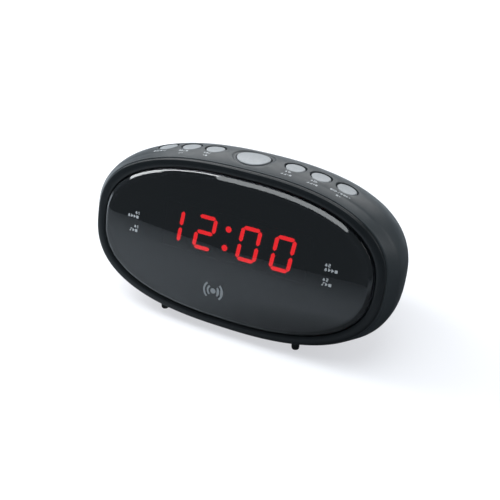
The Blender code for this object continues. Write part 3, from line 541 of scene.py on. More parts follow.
def banded(name, axis, bands, roughness, metallic=0.0, grain=1500):
    """Bands of colour along one axis, as (start in metres, colour), with a printed edge."""
    made, shader, place = shader_nodes(name, bands[0][1], roughness, metallic)
    split = add_node(shader, "SeparateXYZ")
    feed(split, "Vector", place)
    colour = bands[0][1]
    for start, following in bands[1:]:
        step = spread(split.outputs[axis], 0, 1, start - 0.05 * MM, start + 0.05 * MM)
        colour = blend_colours(step, colour, following)
    worn = spread(noise(place, 700, 4), 0, 0.25)
    feed(shader, "Base Color", blend_colours(worn, colour, (0.02, 0.02, 0.02)))
    bump(shader, noise(place, grain, 2), 0.008 * MM, 0.4)
    return made


def layered(name, low, high, axis, pitch, roughness, metallic, height):
    """Sheets or turns stacked along one axis: core laminations, or tape round a coil."""
    made, shader, place = shader_nodes(name, low, roughness, metallic)
    waves = add_node(shader, "TexWave", {"Scale": 0.314 / pitch / 2, "Distortion": 0.25})
    waves.bands_direction = axis
    feed(waves, "Vector", place)
    feed(shader, "Base Color", blend_colours(waves.outputs["Fac"], low, high))
    rough = noise(place, 800, 3)
    feed(shader, "Roughness", spread(rough, roughness * 0.8, roughness * 1.2))
    bump(shader, waves.outputs["Fac"], height, 0.8)
    return made


def circuit_board():
    """Green solder mask with copper tracks under it and bare pads."""
    made, shader, place = shader_nodes("solder_mask", (0.02, 0.12, 0.05), 0.35)
    bricks = add_node(shader, "TexBrick", {
        "Scale": 160, "Mortar Size": 0.035, "Mortar": (0.045, 0.22, 0.08, 1),
        "Color1": (0.018, 0.11, 0.045, 1), "Color2": (0.022, 0.13, 0.055, 1),
    })
    feed(bricks, "Vector", place)
    pads = spread(cells(place, 330), 1, 0, 0.10, 0.13)
    feed(shader, "Base Color", blend_colours(pads, bricks.outputs["Color"], (0.62, 0.60, 0.55)))
    feed(shader, "Roughness", spread(noise(place, 400), 0.28, 0.45))
    bump(shader, bricks.outputs["Fac"], 0.03 * MM, 0.5)
    return made


def glow(name, colour, strength):
    """A lit segment: even light with a slightly paler core where the die sits."""
    made, shader, place = shader_nodes(name, (0.30, 0.01, 0.01), 0.35)
    patches = spread(noise(place, 700, 2), 0, 1, 0.3, 0.8)
    warm = (min(colour[0] * 1.05, 1), colour[1] * 1.6 + 0.004, colour[2] * 1.6 + 0.004)
    feed(shader, "Emission Color", blend_colours(patches, colour, warm))
    shader.inputs["Emission Strength"].default_value = strength
    return made


def paper_cone():
    made, shader, place = shader_nodes("cone_paper", (0.05, 0.045, 0.04), 0.88)
    fibres = noise(place, 1500, 6, 0.7, (1, 0.25, 1))
    colour = blend_colours(spread(fibres, 0, 1), (0.03, 0.028, 0.025), (0.09, 0.08, 0.07))
    feed(shader, "Base Color", colour)
    bump(shader, fibres, 0.06 * MM, 0.7)
    return made


def tinted_lamp():
    made, shader, place = shader_nodes("red_epoxy", (0.55, 0.02, 0.02), 0.12)
    shader.inputs["Transmission Weight"].default_value = 0.35
    patches = spread(noise(place, 900, 2), 0, 1)
    feed(shader, "Base Color", blend_colours(patches, (0.45, 0.012, 0.012), (0.62, 0.03, 0.028)))
    return made


def printed(name, colour):
    """Printing ink: a thin matt film with a slightly uneven cover."""
    made, shader, place = shader_nodes(name, colour, 0.5)
    low, high = shades(colour, 0.8, 1.05)
    cover = spread(noise(place, 2500, 3), 0, 1)
    feed(shader, "Base Color", blend_colours(cover, low, high))
    return made


def rating_label():
    """Brushed silver foil with a thin printed border and blank rows."""
    made, shader, place = shader_nodes("silver_foil", (0.6, 0.6, 0.6), 0.38, 0.7)
    split = add_node(shader, "SeparateXYZ")
    feed(split, "Vector", place)
    low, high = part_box("rating_plate")
    colour = (0.55, 0.55, 0.56)
    margin, line = 0.9 * MM, 0.3 * MM
    for axis in (0, 2):
        middle, half = (low[axis] + high[axis]) / 2, (high[axis] - low[axis]) / 2 - margin
        away = calculate("ABSOLUTE", calculate("SUBTRACT", split.outputs[axis], middle))
        start = spread(away, 0, 1, half - line, half - line * 0.8)
        stop = spread(away, 1, 0, half, half + line * 0.2)
        colour = blend_colours(calculate("MULTIPLY", start, stop), colour, (0.05, 0.05, 0.05))
    feed(shader, "Base Color", colour)
    brushed = noise(place, 700, 3, 0.6, (0.05, 1, 1))
    feed(shader, "Roughness", spread(brushed, 0.28, 0.5))
    bump(shader, brushed, 0.004 * MM, 0.4)
    return made


CASE = moulded("case_plastic", (0.0185, 0.022, 0.0245), 0.44, shine=0.38)
DOOR = moulded("door_plastic", (0.017, 0.021, 0.024), 0.46, shine=0.35)
BEZEL = glossy_black("bezel_gloss", (0.004, 0.0052, 0.0062), 0.30)
LENS = smoked_lens()
SILVER = metal_paint("silver_paint", (0.195, 0.204, 0.212), 0.44)
RED_GLOW = glow("segment_glow", (1.0, 0.010, 0.013), 17.0)
MODULE_FACE = moulded("module_face", (0.006, 0.006, 0.007), 0.5, 1800)
MODULE_BODY = moulded("module_body", (0.55, 0.55, 0.53), 0.55, 1800)
WHITE_INK = printed("white_ink", (0.42, 0.43, 0.44))
CAPTION_INK = printed("caption_ink", (0.27, 0.28, 0.29))
GREY_INK = printed("grey_ink", (0.26, 0.27, 0.28))
BLACK_PART = moulded("black_part", (0.02, 0.02, 0.022), 0.45, 1800)
RUBBER = rubber()
STEEL = metal("plated_steel", (0.58, 0.58, 0.56), 0.30, (1, 0.1, 1))
DIM_STEEL = metal("basket_steel", (0.40, 0.40, 0.39), 0.38, (1, 1, 0.15))
BOARD = circuit_board()
LAMP = tinted_lamp()
CORE = layered("core_sheets", (0.10, 0.095, 0.09), (0.30, 0.29, 0.28), "Y", 0.5 * MM, 0.45, 0.9, 0.05 * MM)
WINDING = layered("winding_tape", (0.42, 0.24, 0.05), (0.58, 0.36, 0.10), "Z", 2.4 * MM, 0.42, 0.0, 0.08 * MM)
CONE = paper_cone()
FERRITE = moulded("ferrite", (0.05, 0.05, 0.054), 0.62, 900, 0.04 * MM)
LABEL = rating_label()


# ---------------------------------------------------------------- case pieces

def case_skin():
    """The housing's wall, with both edges rounded as pairs of (depth, inset)."""
    edge = ((0.0, 0.35), (0.08, 0.16), (0.25, 0.04), (0.55, 0.0))
    outer = (
        1.2, 2.2, 3.4, 4.6, 5.4, 6.2, 6.7, 7.3, 8.0, 9.2, 10.8, 12.5, 14.5, 17, 19.5, 22, 24.5, 27, 29.5, 32,
    )
    rings = [case_ring(d * MM, i * MM) for d, i in edge]
    rings += [case_ring(d * MM) for d in outer]
    rings += [case_ring(REAR_SEAM_DEPTH - d * MM, i * MM) for d, i in reversed(edge)]
    rings += [case_ring(d * MM, WALL) for d in (34, 24, 13, 6, 0)]
    return loft("main_shell", rings, ring_shaped=True)


def make_housing():
    """The middle housing: its button holes, the walls of the battery bay and the posts inside."""
    global HOUSING_SURFACE
    shell = case_skin()
    HOUSING_SURFACE = skin_tree(shell)
    door_skin = new_object("door_shell", shell.data.copy())
    plug = inner_plug()
    bay_x, bay_y = BAY_PLACE
    size_x, size_y = BAY_SIZE
    roof = BAY_ROOF + BAY_WALL
    walls = box("walls", (size_x + 2 * BAY_WALL, size_y + 2 * BAY_WALL, roof), (bay_x, bay_y, roof / 2))
    combine(walls, [plug], "INTERSECT")
    combine(shell, [walls], "UNION")
    hollow = box(
        "hollow", (size_x, size_y, 40 * MM), (bay_x, bay_y, BAY_ROOF - 20 * MM),
        round_edges=1.0 * MM, only_upright=True,
    )
    cutters = [hollow]
    for name, x, y, (half_x, half_y) in button_places():
        y += HOLE_SETBACK
        half_x, half_y = half_x + BUTTON_GAP, half_y + BUTTON_GAP
        base = top_height(x, y)
        foot = ellipse_ring(x, y, half_x, half_y, lambda px, py: base - 7 * MM)
        if name == "snooze_button":
            steps = ((0.65, -0.82), (1.0, -0.74), (1.3, -0.55), (1.55, -0.30), (1.8, -0.10), (2.2, 0.05), (2.9, 0.7))
            rings = [[(half_x + wider * MM, half_y + wider * MM), over(lift * MM)] for wider, lift in steps]
            cutters.append(loft("dish", [ellipse_ring(x, y, *size, height, 96) for size, height in rings]))
            cutters.append(loft("hole", [foot, ellipse_ring(x, y, half_x, half_y, lambda px, py: base + 6 * MM)]))
        else:
            rings = [foot, ellipse_ring(x, y, half_x, half_y, over(-0.5 * MM))]
            for wider, lift in ((0.06, -0.22), (0.2, -0.05), (0.42, 0.05)):
                rings.append(ellipse_ring(x, y, half_x + wider * MM, half_y + wider * MM, over(lift * MM)))
            rings.append(ellipse_ring(x, y, half_x + 0.5 * MM, half_y + 0.5 * MM, lambda px, py: base + 6 * MM))
            cutters.append(loft("hole", rings))
    combine(shell, cutters, "DIFFERENCE")
    add_posts(shell)
    dress(shell, CASE, "case", ["main_housing"])
    make_door(door_skin)


def inner_plug():
    """The housing's inside with half of its wall, which trims what is joined to it."""
    return loft("plug", [case_ring(d * MM, WALL / 2) for d in (0.3, 6, 13, 24, 33.7)])


def add_posts(shell):
    """The posts inside that the screws go into."""
    plug = inner_plug()
    posts = []
    for x, z in CASE_POSTS:
        lean = (z - FACE_Z) * math.tan(FACE_LEAN)
        post = cylinder("post", 3.2 * MM, 16 * MM, (x, lean + 26 * MM, z), segments=32)
        rib = box("rib", (28 * MM, 8 * MM, 2 * MM), (x + math.copysign(14 * MM, x), lean + 21 * MM, z))
        combine(post, [rib], "UNION")
        tight = new_object("plug_copy", plug.data.copy())
        combine(post, [tight], "INTERSECT")
        posts.append(post)
    combine(shell, posts, "UNION")
    bpy.data.objects.remove(plug)


def make_door(skin):
    """The battery door, cut from the same skin, with a thumb dish and three grip grooves."""
    bay_x, bay_y = BAY_PLACE
    size_x, size_y = BAY_SIZE
    block = box(
        "block",
        (size_x - 2 * SEAM_GAP, size_y - SEAM_GAP - DOOR_REAR_GAP, 16 * MM),
        (bay_x, bay_y + (SEAM_GAP - DOOR_REAR_GAP) / 2, 4 * MM),
        round_edges=0.8 * MM, only_upright=True,
    )
    combine(skin, [block], "INTERSECT")
    thumb_y = bay_y + size_y / 2 - 5.5 * MM
    bm = bmesh.new()
    bmesh.ops.create_uvsphere(bm, u_segments=48, v_segments=24, radius=1.0)
    bmesh.ops.scale(bm, vec=(6.0 * MM, 3.6 * MM, 1.5 * MM), verts=bm.verts)
    bmesh.ops.translate(bm, vec=(bay_x, thumb_y, 5.0 * MM), verts=bm.verts)
    cuts = [mesh_object("thumb", bm)]
    for number in range(3):
        y = thumb_y - (6.0 + 1.6 * number) * MM
        cuts.append(cylinder("groove", 0.35 * MM, 14 * MM, (bay_x, y, 5.35 * MM), turn=ALONG_X, segments=16))
    combine(skin, cuts, "DIFFERENCE")
    skin.name = "battery_lid"
    dress(skin, DOOR, "door_body", ["battery_door"])


def speaker_screw_places():
    for degrees in (35, 125, 300):
        angle = math.radians(degrees)
        yield SPEAKER[0] + 28 * MM * math.cos(angle), SPEAKER[2] + 28 * MM * math.sin(angle)


def make_rear_cover():
    """The rear cover: screw wells, speaker posts and slots, and the gland's and aerial's holes."""
    inner = (1.0, 0.85, 0.7, 0.5, 0.3, 0.15, 0.0)
    outer = (0.02, 0.05, 0.1, 0.16, 0.22, 0.29, 0.36, 0.43, 0.5, 0.57, 0.64, 0.71, 0.78, 0.85, 0.92, 0.97, 1.0)
    rings = [rear_ring(f, WALL) for f in inner]
    rings += [rear_ring(0.0, 0.35 * MM), rear_ring(0.004, 0.16 * MM), rear_ring(0.01, 0.04 * MM)]
    rings += [rear_ring(f) for f in outer]
    cover = loft("rear_shell", rings)
    plug = loft("rear_plug", [rear_ring(f, 1.1 * MM) for f in (0.01, 0.2, 0.4, 0.6, 0.8, 1.0)])
    additions, cuts = [], []
    for x, z in CASE_POSTS:
        seam = (z - FACE_Z) * math.tan(FACE_LEAN) + REAR_SEAM_DEPTH + SEAM_GAP
        start = seam + 0.6 * MM
        additions.append(cylinder("well", 5.2 * MM, 30 * MM, (x, start + 15 * MM, z)))
        cuts.append(cylinder("head", 3.7 * MM, 40 * MM, (x, start + 22 * MM, z)))
        cuts.append(cylinder("shank", 1.7 * MM, 20 * MM, (x, seam, z), segments=24))
    for x, z in speaker_screw_places():
        start = SPEAKER[1] + SEAM_GAP
        additions.append(cylinder("post", 2.7 * MM, 30 * MM, (x, start + 15 * MM, z), segments=32))
    trimmed = []
    for piece in additions:
        tight = new_object("plug_copy", plug.data.copy())
        trimmed.append(combine(piece, [tight], "INTERSECT"))
    bpy.data.objects.remove(plug)
    combine(cover, trimmed, "UNION")
    for number in range(-3, 4):
        up = number * 4.6 * MM
        width = 2 * math.sqrt((18 * MM) ** 2 - up ** 2)
        cuts.append(box(
            "slot", (width, 2.0 * MM, 40 * MM), (0, 0, 0), UPRIGHT @ Matrix.Translation(
                (SPEAKER[0], SPEAKER[1] + 24 * MM, SPEAKER[2] + up)) @ ALONG_Y,
            round_edges=0.95 * MM, only_upright=True, segments=5,
        ))
    cuts.append(cylinder("gland_hole", 4.4 * MM, 16 * MM, (GLAND[0], BACK_DEPTH, GLAND[1])))
    cuts.append(cylinder("aerial_hole", 2.4 * MM, 16 * MM, (AERIAL[0], BACK_DEPTH, AERIAL[1])))
    combine(cover, cuts, "DIFFERENCE")
    dress(cover, CASE, "case", ["rear_cover"])


def make_bezel():
    """The ring round the lens: a ridge at the seam, a rounded land and the wall of the lens's tray."""
    outer = (
        (0.95, -0.8), (0.95, 1.1), (0.935, 1.35), (0.90, 1.60), (0.84, 1.88), (0.76, 2.10), (0.66, 2.22),
        (0.55, 2.25), (0.44, 2.22), (0.34, 2.15), (0.26, 2.04), (0.20, 1.88), (0.155, 1.66), (0.125, 1.35),
        (0.11, 0.9), (0.105, 0.3), (0.80, 0.3), (0.80, -2.6),
    )
    bezel = loft("bezel_ring", [face_ring(share, forward * MM) for share, forward in outer], FACE, sharp=40)
    cuts = [box("window", WINDOW_SIZE, (0, 0, DISPLAY_UP), FACE)]
    for x in (-LAMP_X, LAMP_X):
        for up in LAMP_UP:
            cuts.append(cylinder("lamp_hole", 1.9 * MM, 10 * MM, (x, 0, up), FACE, segments=32))
    posts = [
        cylinder("post", 2.6 * MM, 7.8 * MM, (x, 5.4 * MM, -8 * MM), FACE, segments=32)
        for x in (-57 * MM, 57 * MM)
    ]
    combine(bezel, cuts, "DIFFERENCE", 40)
    combine(bezel, posts, "UNION", 40)
    dress(bezel, BEZEL, "case", ["front_bezel"])


def make_lens():
    """The domed lens: a hollow tray with a bevel round its front, as pairs of (inset, forward)."""
    rings = [crown_ring(scale, LENS_THICKNESS) for scale in (0.15, 0.4, 0.6, 0.8, 0.95)]
    rings += [lens_ring(LENS_THICKNESS, LENS_WALL_TOP), lens_ring(LENS_THICKNESS, LENS_BACK), lens_ring(0.0, LENS_BACK)]
    bevel = (
        (0.0, 2.2), (0.03, 2.45), (0.12, 2.66), (0.27, 2.84), (0.70, 3.18), (1.30, 3.65), (1.82, 4.06), (1.96, 4.14),
    )
    rings += [lens_ring(inset * MM, forward * MM) for inset, forward in bevel]
    crown = (0.990, 0.97, 0.94, 0.9, 0.82, 0.72, 0.6, 0.48, 0.36, 0.24, 0.12, 0.03)
    rings += [crown_ring(scale) for scale in crown]
    lens = loft("lens_dome", rings, FACE, sharp=50)
    dress(lens, LENS, "case", ["display_lens"])


def make_buttons():
    """Caps with a rounded shoulder and a shallow finger dish, each with its flange and stem."""
    for name, x, y, (half_x, half_y) in button_places():
        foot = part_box(name)[0].z
        flange_x, flange_y = half_x + FLANGE_WIDTH, half_y + FLANGE_WIDTH
        flange_top, flange_foot = over(-WALL - 0.65 * MM), over(-WALL - 1.65 * MM)
        rings = [
            ellipse_ring(x, y, 2.0 * MM, 2.0 * MM, lambda px, py, foot=foot: foot),
            ellipse_ring(x, y, 2.0 * MM, 2.0 * MM, flange_foot),
            ellipse_ring(x, y, flange_x, flange_y, flange_foot),
            ellipse_ring(x, y, flange_x, flange_y, flange_top),
            ellipse_ring(x, y, half_x, half_y, flange_top),
        ]
        radius = 0.5 * MM
        for step in range(7):
            angle = math.pi / 2 * step / 6
            inset = radius * (1 - math.cos(angle))
            drop = radius * (1 - math.sin(angle))
            rings.append(ellipse_ring(x, y, half_x - inset, half_y - inset, over(-BUTTON_SINK - drop)))
        for inset, drop in ((0.8, 0.02), (1.2, 0.06), (1.8, 0.10), (2.6, 0.13), (3.6, 0.15), (4.4, 0.155)):
            rings.append(ellipse_ring(x, y, half_x - inset * MM, half_y - inset * MM, over(-BUTTON_SINK - drop * MM)))
        made = loft(name.replace("button", "key_cap"), rings, sharp=40)
        dress(made, SILVER, f"{name}_body", [name])


def make_screws():
    """Pan heads with a cross recess, in place of the CAD's round sockets."""
    for name in sorted(n for n in NODES if "_screw_" in n):
        points = [v.co.copy() for v in NODES[name].data.vertices]
        middle = sum(points, Vector()) / len(points)
        low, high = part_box(name)
        size = high - low
        slanted = name.startswith("main_board")
        if slanted:
            axis = (FACE.to_3x3() @ Vector((0, 1, 0))).normalized()
        elif size.z > size.y:
            axis = Vector((0, 0, 1 if "transformer" in name else -1))
        else:
            axis = Vector((0, -1 if "speaker" in name else 1, 0))
        along = [(p - middle).dot(axis) for p in points]
        tip, top = min(along), max(along)
        if slanted:
            centre = Vector(((low.x + high.x) / 2, middle.y, middle.z))
        else:
            centre = (low + high) / 2
            centre += axis * (middle - centre).dot(axis)
        radius = max((p - centre - axis * (p - centre).dot(axis)).length for p in points)
        place = Matrix.Translation(centre) @ axis.to_track_quat("Z", "Y").to_matrix().to_4x4()
        head = radius * 0.7
        shaft = radius * 0.36
        base = top - head
        profile = [(0, top), (radius * 0.45, top - radius * 0.01)]
        for step in range(1, 6):
            angle = math.pi / 2 * step / 5
            profile.append((radius * (0.62 + 0.38 * math.sin(angle)), base + head * (0.25 + 0.72 * math.cos(angle))))
        profile += [(radius, base), (shaft, base)]
        turn = base
        pitch = radius * 0.26
        while turn - pitch > tip + pitch:
            profile += [(shaft * 0.78, turn - pitch * 0.5), (shaft, turn - pitch)]
            turn -= pitch
        profile.append((0, tip))
        made = turned(name + "_pan", profile, place, 24)
        slots = [
            box("recess", (radius * 0.95, radius * 0.2, head * 0.9), (0, 0, top), place @ Matrix.Rotation(spin, 4, "Z"))
            for spin in (0.4, 0.4 + math.pi / 2)
        ]
        combine(made, slots, "DIFFERENCE", 40)
        dress(made, STEEL, "case", [name])


# ---------------------------------------------------------------- display

def prism(bm, outline, place_point, low, high):
    """A thin plate with this outline, from lift low to lift high above a surface."""
    back = [bm.verts.new(place_point(x, y, low)) for x, y in outline]
    front = [bm.verts.new(place_point(x, y, high)) for x, y in outline]
    count = len(outline)
    bm.faces.new(front)
    bm.faces.new(list(reversed(back)))
    for i in range(count):
        j = (i + 1) % count
        bm.faces.new((back[i], back[j], front[j], front[i]))


def plates(name, outlines, place_point, low=0.01 * MM, high=0.05 * MM):
    bm = bmesh.new()
    for outline in outlines:
        prism(bm, outline, place_point, low, high)
    bmesh.ops.triangulate(bm, faces=bm.faces)
    return mesh_object(name, bm, Matrix.Identity(4))


def bar(x, y, wide, tall):
    return [(x, y), (x + wide, y), (x + wide, y + tall), (x, y + tall)]


def disc(x, y, radius, count=24):
    angles = [2 * math.pi * i / count for i in range(count)]
    return [(x + radius * math.cos(a), y + radius * math.sin(a)) for a in angles]


def arc(x, y, radius, thick, start, stop, count=12):
    angles = [math.radians(start + (stop - start) * i / count) for i in range(count + 1)]
    outside = [(x + (radius + thick) * math.cos(a), y + (radius + thick) * math.sin(a)) for a in angles]
    inside = [(x + radius * math.cos(a), y + radius * math.sin(a)) for a in reversed(angles)]
    return outside + inside


SEGMENTS = {"0": "abcdef", "1": "bc", "2": "abged"}
DIGIT_HALF = (4.7 * MM, 8.45 * MM)
DIGIT_STROKE = 2.05 * MM
DIGIT_SLANT = 0.10
DIGITS_UP = 5.0 * MM
DIGIT_RIGHT_EDGES = (("1", -29.6 * MM), ("2", -10.9 * MM), ("0", 13.9 * MM), ("0", 32.5 * MM))
COLON_X = -4.2 * MM
COLON_UP = 5.1 * MM
COLON_RADIUS = 1.6 * MM


def segment_outline(which):
    """A bar with pointed, softly rounded ends on the digit's centre lines."""
    wide, tall = DIGIT_HALF
    ends = {
        "a": ((-wide, tall), (wide, tall)), "g": ((-wide, 0), (wide, 0)), "d": ((-wide, -tall), (wide, -tall)),
        "f": ((-wide, 0), (-wide, tall)), "b": ((wide, 0), (wide, tall)),
        "e": ((-wide, -tall), (-wide, 0)), "c": ((wide, -tall), (wide, 0)),
    }
    (x0, y0), (x1, y1) = ends[which]
    length = math.hypot(x1 - x0, y1 - y0)
    ux, uy = (x1 - x0) / length, (y1 - y0) / length
    half = DIGIT_STROKE / 2
    gap = 0.28 * MM
    middle_gap = 0.62 * MM if which in "fbec" else gap

    def tip(space):
        return ((space, 0.0), (space + half * 0.35, 0.55), (space + half * 0.9, 0.95), (space + half * 1.25, 1.0))

    near, far = (middle_gap, gap) if which in "fb" else (gap, middle_gap)
    side = list(tip(near)) + [(length - t, s) for t, s in reversed(tip(far))]
    loop = [(t, s * half) for t, s in side] + [(t, -s * half) for t, s in reversed(side) if s > 0]
    return [(x0 + t * ux - s * uy, y0 + t * uy + s * ux) for t, s in loop]


def make_display():
    """The module with its dark front, and the lit time on it."""
    middle = DISPLAY_FRONT + DISPLAY_SIZE[1] / 2
    module = box("display_body", DISPLAY_SIZE, (0, middle, DISPLAY_UP), FACE, 0.5 * MM)
    dress(module, [MODULE_BODY, MODULE_FACE], "case", ["display_module"])
    forward = FACE.to_3x3() @ Vector((0, -1, 0))
    for face in module.data.polygons:
        if face.normal.dot(forward) > 0.9:
            face.material_index = 1

    def on_module(x, up, lift):
        return FACE @ Vector((x, DISPLAY_FRONT - lift, up))

    outlines = []
    for digit, right in DIGIT_RIGHT_EDGES:
        x = right - DIGIT_HALF[0] - DIGIT_STROKE / 2
        for which in SEGMENTS[digit]:
            outlines.append([(x + u + v * DIGIT_SLANT, DIGITS_UP + v) for u, v in segment_outline(which)])
    for v in (-COLON_UP, COLON_UP):
        outlines.append(disc(COLON_X + v * DIGIT_SLANT, DIGITS_UP + v, COLON_RADIUS, 32))
    digits = plates("lit_segments", outlines, on_module, 0.0, 0.12 * MM)
    dress(digits, RED_GLOW)


# Generic signs one unit tall, as the width that each takes and its outlines.
SIGNS = {
    "one": (0.5, [bar(0.2, 0, 0.2, 1), bar(0, 0.62, 0.2, 0.2)]),
    "two": (0.75, [
        bar(0, 0.8, 0.6, 0.2), bar(0.4, 0.5, 0.2, 0.3), bar(0, 0.4, 0.6, 0.2),
        bar(0, 0.2, 0.2, 0.3), bar(0, 0, 0.6, 0.2),
    ]),
    "bell": (1.1, [
        [(0, 0.2), (0.9, 0.2), (0.7, 0.5), (0.6, 0.9), (0.3, 0.9), (0.2, 0.5)], disc(0.45, 0.08, 0.1, 12),
    ]),
    "note": (0.95, [disc(0.2, 0.18, 0.2, 16), bar(0.3, 0.2, 0.14, 0.8), bar(0.44, 0.75, 0.3, 0.22)]),
    "minus": (0.8, [bar(0, 0.42, 0.6, 0.2)]),
    "plus": (0.8, [bar(0, 0.42, 0.2, 0.2), bar(0.2, 0.22, 0.2, 0.6), bar(0.4, 0.42, 0.2, 0.2)]),
    "wedge": (1.2, [[(0, 0.1), (0.95, 0.1), (0.95, 0.95)]]),
    "arrow": (0.85, [[(0, 0), (0.7, 0.5), (0, 1)]]),
    "stop": (1.0, [bar(0, 0.1, 0.75, 0.8)]),
    "dial": (1.05, [arc(0.45, 0.5, 0.32, 0.14, 0, 352, 24)]),
    "pause": (0.85, [bar(0, 0, 0.24, 1), bar(0.45, 0, 0.24, 1)]),
}
SIGN_GAP = 0.15


def sign_row(kinds, x, y, size, align=0.0):
    """Outlines of a row of signs: align 0 starts at x, 0.5 is centred on x and 1 ends at x."""
    x -= (sum(SIGNS[kind][0] for kind in kinds) - SIGN_GAP) * size * align
    outlines = []
    for kind in kinds:
        wide, parts = SIGNS[kind]
        outlines += [[(x + u * size, y + v * size) for u, v in part] for part in parts]
        x += wide * size
    return outlines


CAPTION = 1.45 * MM


def make_marks():
    """Signs beside the display, a plain emblem under it and captions before the small buttons."""
    rows = []
    for lower, up in ((("bell", "arrow", "arrow", "stop"), 6.6), (("note", "arrow", "stop"), -0.9)):
        for number, x, align in (("one", -52.6, 1.0), ("two", 50.8, 0.0)):
            rows += sign_row(("bell", number), x * MM, (up + 0.6) * MM, 1.7 * MM, align)
            rows += sign_row(lower, x * MM, (up - 1.8) * MM, 1.9 * MM, align)
    dress(plates("lens_marks", rows, on_lens), WHITE_INK)

    x, up = -5.3 * MM, -22.1 * MM
    emblem = [disc(x, up, 1.5 * MM, 32)]
    for radius in (2.6, 4.7):
        for middle in (0, 180):
            emblem.append(arc(x, up, radius * MM, 1.0 * MM, middle - 48, middle + 48, 20))
    dress(plates("wave_emblem", emblem, on_lens), GREY_INK)

    captions = {
        "left_button_1": (("arrow", "stop", "note"), ("plus", "dial")),
        "left_button_2": (("dial", "arrow", "note", "stop"), ("note", "plus")),
        "left_button_3": (("dial", "pause", "arrow", "stop", "minus", "note"), ()),
        "right_button_1": (("bell", "one", "arrow"), ("wedge", "wedge", "minus", "stop")),
        "right_button_2": (("bell", "two", "arrow"), ("wedge", "wedge", "plus", "stop")),
        "right_button_3": (("dial", "pause", "arrow", "note", "stop", "dial", "arrow", "plus"), ("stop", "plus")),
    }
    rows = []
    for name, x, y, _ in button_places():
        if name in captions:
            for kinds, ahead in zip(captions[name], (7.3 * MM, 10.0 * MM)):
                rows += sign_row(kinds, x - 1.0 * MM, y - ahead - CAPTION / 2, CAPTION, 0.5)

    def on_housing(px, py, lift):
        return Vector((px, py + FACE_Y, top_height(px, py) + lift))

    dress(plates("button_marks", rows, on_housing), CAPTION_INK)


# ---------------------------------------------------------------- carried-over CAD nodes

def carried_over_looks():
    """Materials for the nodes that keep their CAD mesh."""
    cell_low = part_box("backup_cell_1")[0].x
    blue, gold = (0.05, 0.16, 0.30), (0.55, 0.36, 0.10)
    bands = ((12 * MM, gold), (13.2 * MM, blue), (31 * MM, gold))
    cell = banded("cell_sleeve", 0, ((0, blue), *((cell_low + start, tone) for start, tone in bands)), 0.3, 0.35)
    sleeve = banded("capacitor_sleeve", 0, ((0, (0.02, 0.045, 0.12)),), 0.35)
    looks = {
        "key_board": BOARD, "main_board": BOARD, "clock_chip": BLACK_PART, "tuner_can": STEEL,
        "speaker_basket": DIM_STEEL, "speaker_cone": CONE, "speaker_magnet": FERRITE,
        "transformer_core": CORE, "transformer_winding": WINDING,
        "mains_cable_gland": RUBBER, "aerial_grommet": RUBBER, "rating_plate": LABEL,
    }
    families = {
        "switch": BLACK_PART, "alarm_lamp": LAMP, "capacitor": sleeve, "cell_contact": STEEL,
        "backup_cell": cell, "foot": RUBBER, "screw": STEEL,
    }
    for name, thing in NODES.items():
        look = looks.get(name) or next((chosen for key, chosen in families.items() if key in name), CASE)
        for slot in thing.material_slots:
            slot.material = look
        if not thing.material_slots:
            thing.data.materials.append(look)


# ---------------------------------------------------------------- studio

SKY = (0.23, 0.275, 0.31, 1)


def sky_card():
    """The sky's own colour as a flat light, without gloss."""
    made, shader, _ = shader_nodes("card_grey", (0, 0, 0), 1.0)
    shader.inputs["Emission Color"].default_value = SKY
    shader.inputs["Emission Strength"].default_value = 1.0
    shader.inputs["Specular IOR Level"].default_value = 0.0
    return made


def pale_floor():
    """Pale to the camera; in the light that it throws back it is dimmer, with a painted shadow that darkens it near the
    object.
    """
    made, shader, place = shader_nodes("pale_floor", (0.32, 0.32, 0.325), 0.9)
    low, high = shades((0.32, 0.32, 0.325), 0.99, 1.0)
    feed(shader, "Base Color", blend_colours(noise(place, 3), low, high))
    shader.inputs["Emission Color"].default_value = (0.96, 0.965, 1, 1)
    shader.inputs["Emission Strength"].default_value = 0.6
    # Painted shade: rays other than the camera's see a dimmer floor, darker still near the object where its shadow
    # falls.
    dim = add_node(shader, "BsdfDiffuse")
    away = add_node(shader, "VectorMath", {1: (0.16, 0.02, 0.0)})
    away.operation = "DISTANCE"
    feed(away, 0, place)
    near = spread(away.outputs["Value"], 0, 1, 0.13, 0.22)
    feed(dim, "Color", blend_colours(near, (0.12, 0.13, 0.14), (0.50, 0.54, 0.58)))
    camera_sees(made.node_tree.nodes["Material Output"], shader, dim)
    return made


def aim(thing, place, direction):
    thing.location = place
    thing.rotation_mode = "QUATERNION"
    thing.rotation_quaternion = direction.to_track_quat("-Z", "Y")


def area_light(name, place, target, size, power, colour=(1, 1, 1)):
    data = bpy.data.lights.new(name, "AREA")
    data.shape = "RECTANGLE"
    data.size, data.size_y = size
    data.energy = power
    data.color = colour
    lamp = new_object(name, data)
    aim(lamp, place, Vector(target) - Vector(place))
    return lamp


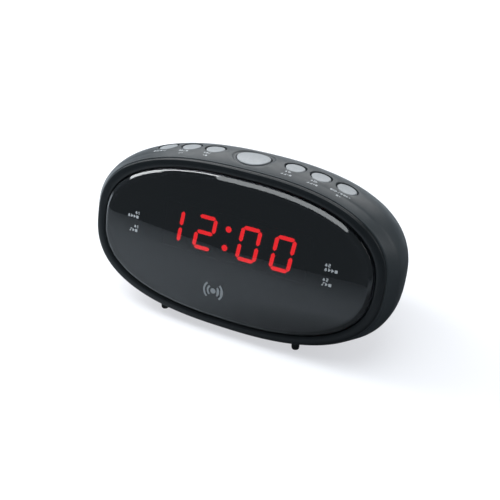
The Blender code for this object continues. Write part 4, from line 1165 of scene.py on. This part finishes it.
def make_studio():
    """A pale floor, a card seen only in reflections, a pale sky and five softboxes."""
    bm = bmesh.new()
    bmesh.ops.create_circle(bm, cap_ends=True, segments=96, radius=3.0)
    floor = mesh_object("floor", bm, Matrix.Identity(4))
    floor.data.materials.append(pale_floor())

    angles = [math.radians(-150 + 88 * i / 32) for i in range(33)]
    bm = bmesh.new()
    lower = [bm.verts.new((0.72 * math.cos(a), 0.72 * math.sin(a), 0.0005)) for a in angles]
    upper = [bm.verts.new((0.74 * math.cos(a), 0.74 * math.sin(a), 0.2)) for a in angles]
    for i in range(len(angles) - 1):
        bm.faces.new((lower[i], lower[i + 1], upper[i + 1], upper[i]))
    card = mesh_object("studio_card", bm, Matrix.Identity(4))
    card.data.materials.append(sky_card())
    card.visible_camera = card.visible_diffuse = card.visible_shadow = False

    world = bpy.data.worlds.new("studio")
    world.use_nodes = True
    bpy.context.scene.world = world
    soft = world.node_tree.nodes["Background"]
    soft.inputs["Color"].default_value = SKY
    soft.inputs["Strength"].default_value = 1.0
    white = add_node(soft, "Background", {"Color": (1, 1, 1, 1)})
    camera_sees(world.node_tree.nodes["World Output"], white, soft)

    area_light("overhead_softbox", (0.0, -0.09, 0.58), (0.0, -0.05, 0), (0.52, 0.36), 2.8, (0.93, 0.975, 1))
    area_light("strip_softbox", (-0.75, 0.015, 0.58), (-0.75, 0.055, 0), (1.00, 0.27), 9.0, (0.95, 0.98, 1))
    left = area_light("left_softbox", (-0.70, 0.05, 0.42), (0, 0, 0.05), (0.40, 0.50), 2.4)
    left.visible_glossy = False
    area_light("right_softbox", (0.75, 0.20, 0.50), (0, 0, 0.05), (0.40, 0.40), 1.2)
    area_light("back_softbox", (-0.15, 0.65, 0.42), (0, 0, 0.03), (0.90, 0.35), 3.2)


def make_camera():
    """The photograph's viewing angle."""
    data = bpy.data.cameras.new("camera")
    camera = new_object("camera", data)
    bpy.context.scene.camera = camera
    azimuth, elevation, distance = math.radians(25.7), math.radians(34.7), 0.4445
    target = Vector((0, -11.5 * MM, 46.2 * MM))
    back = Vector((
        math.sin(azimuth) * math.cos(elevation), -math.cos(azimuth) * math.cos(elevation), math.sin(elevation),
    ))
    aim(camera, target + back * distance, -back)
    data.sensor_width = 36
    data.lens = 61.74
    data.shift_x, data.shift_y = 0.0142, -0.024
    data.clip_start, data.clip_end = 0.01, 20


make_studio()
make_camera()
bpy.context.scene.view_settings.view_transform = "Standard"

make_housing()
make_rear_cover()
make_bezel()
make_lens()
make_buttons()
make_display()
make_marks()
make_screws()
carried_over_looks()
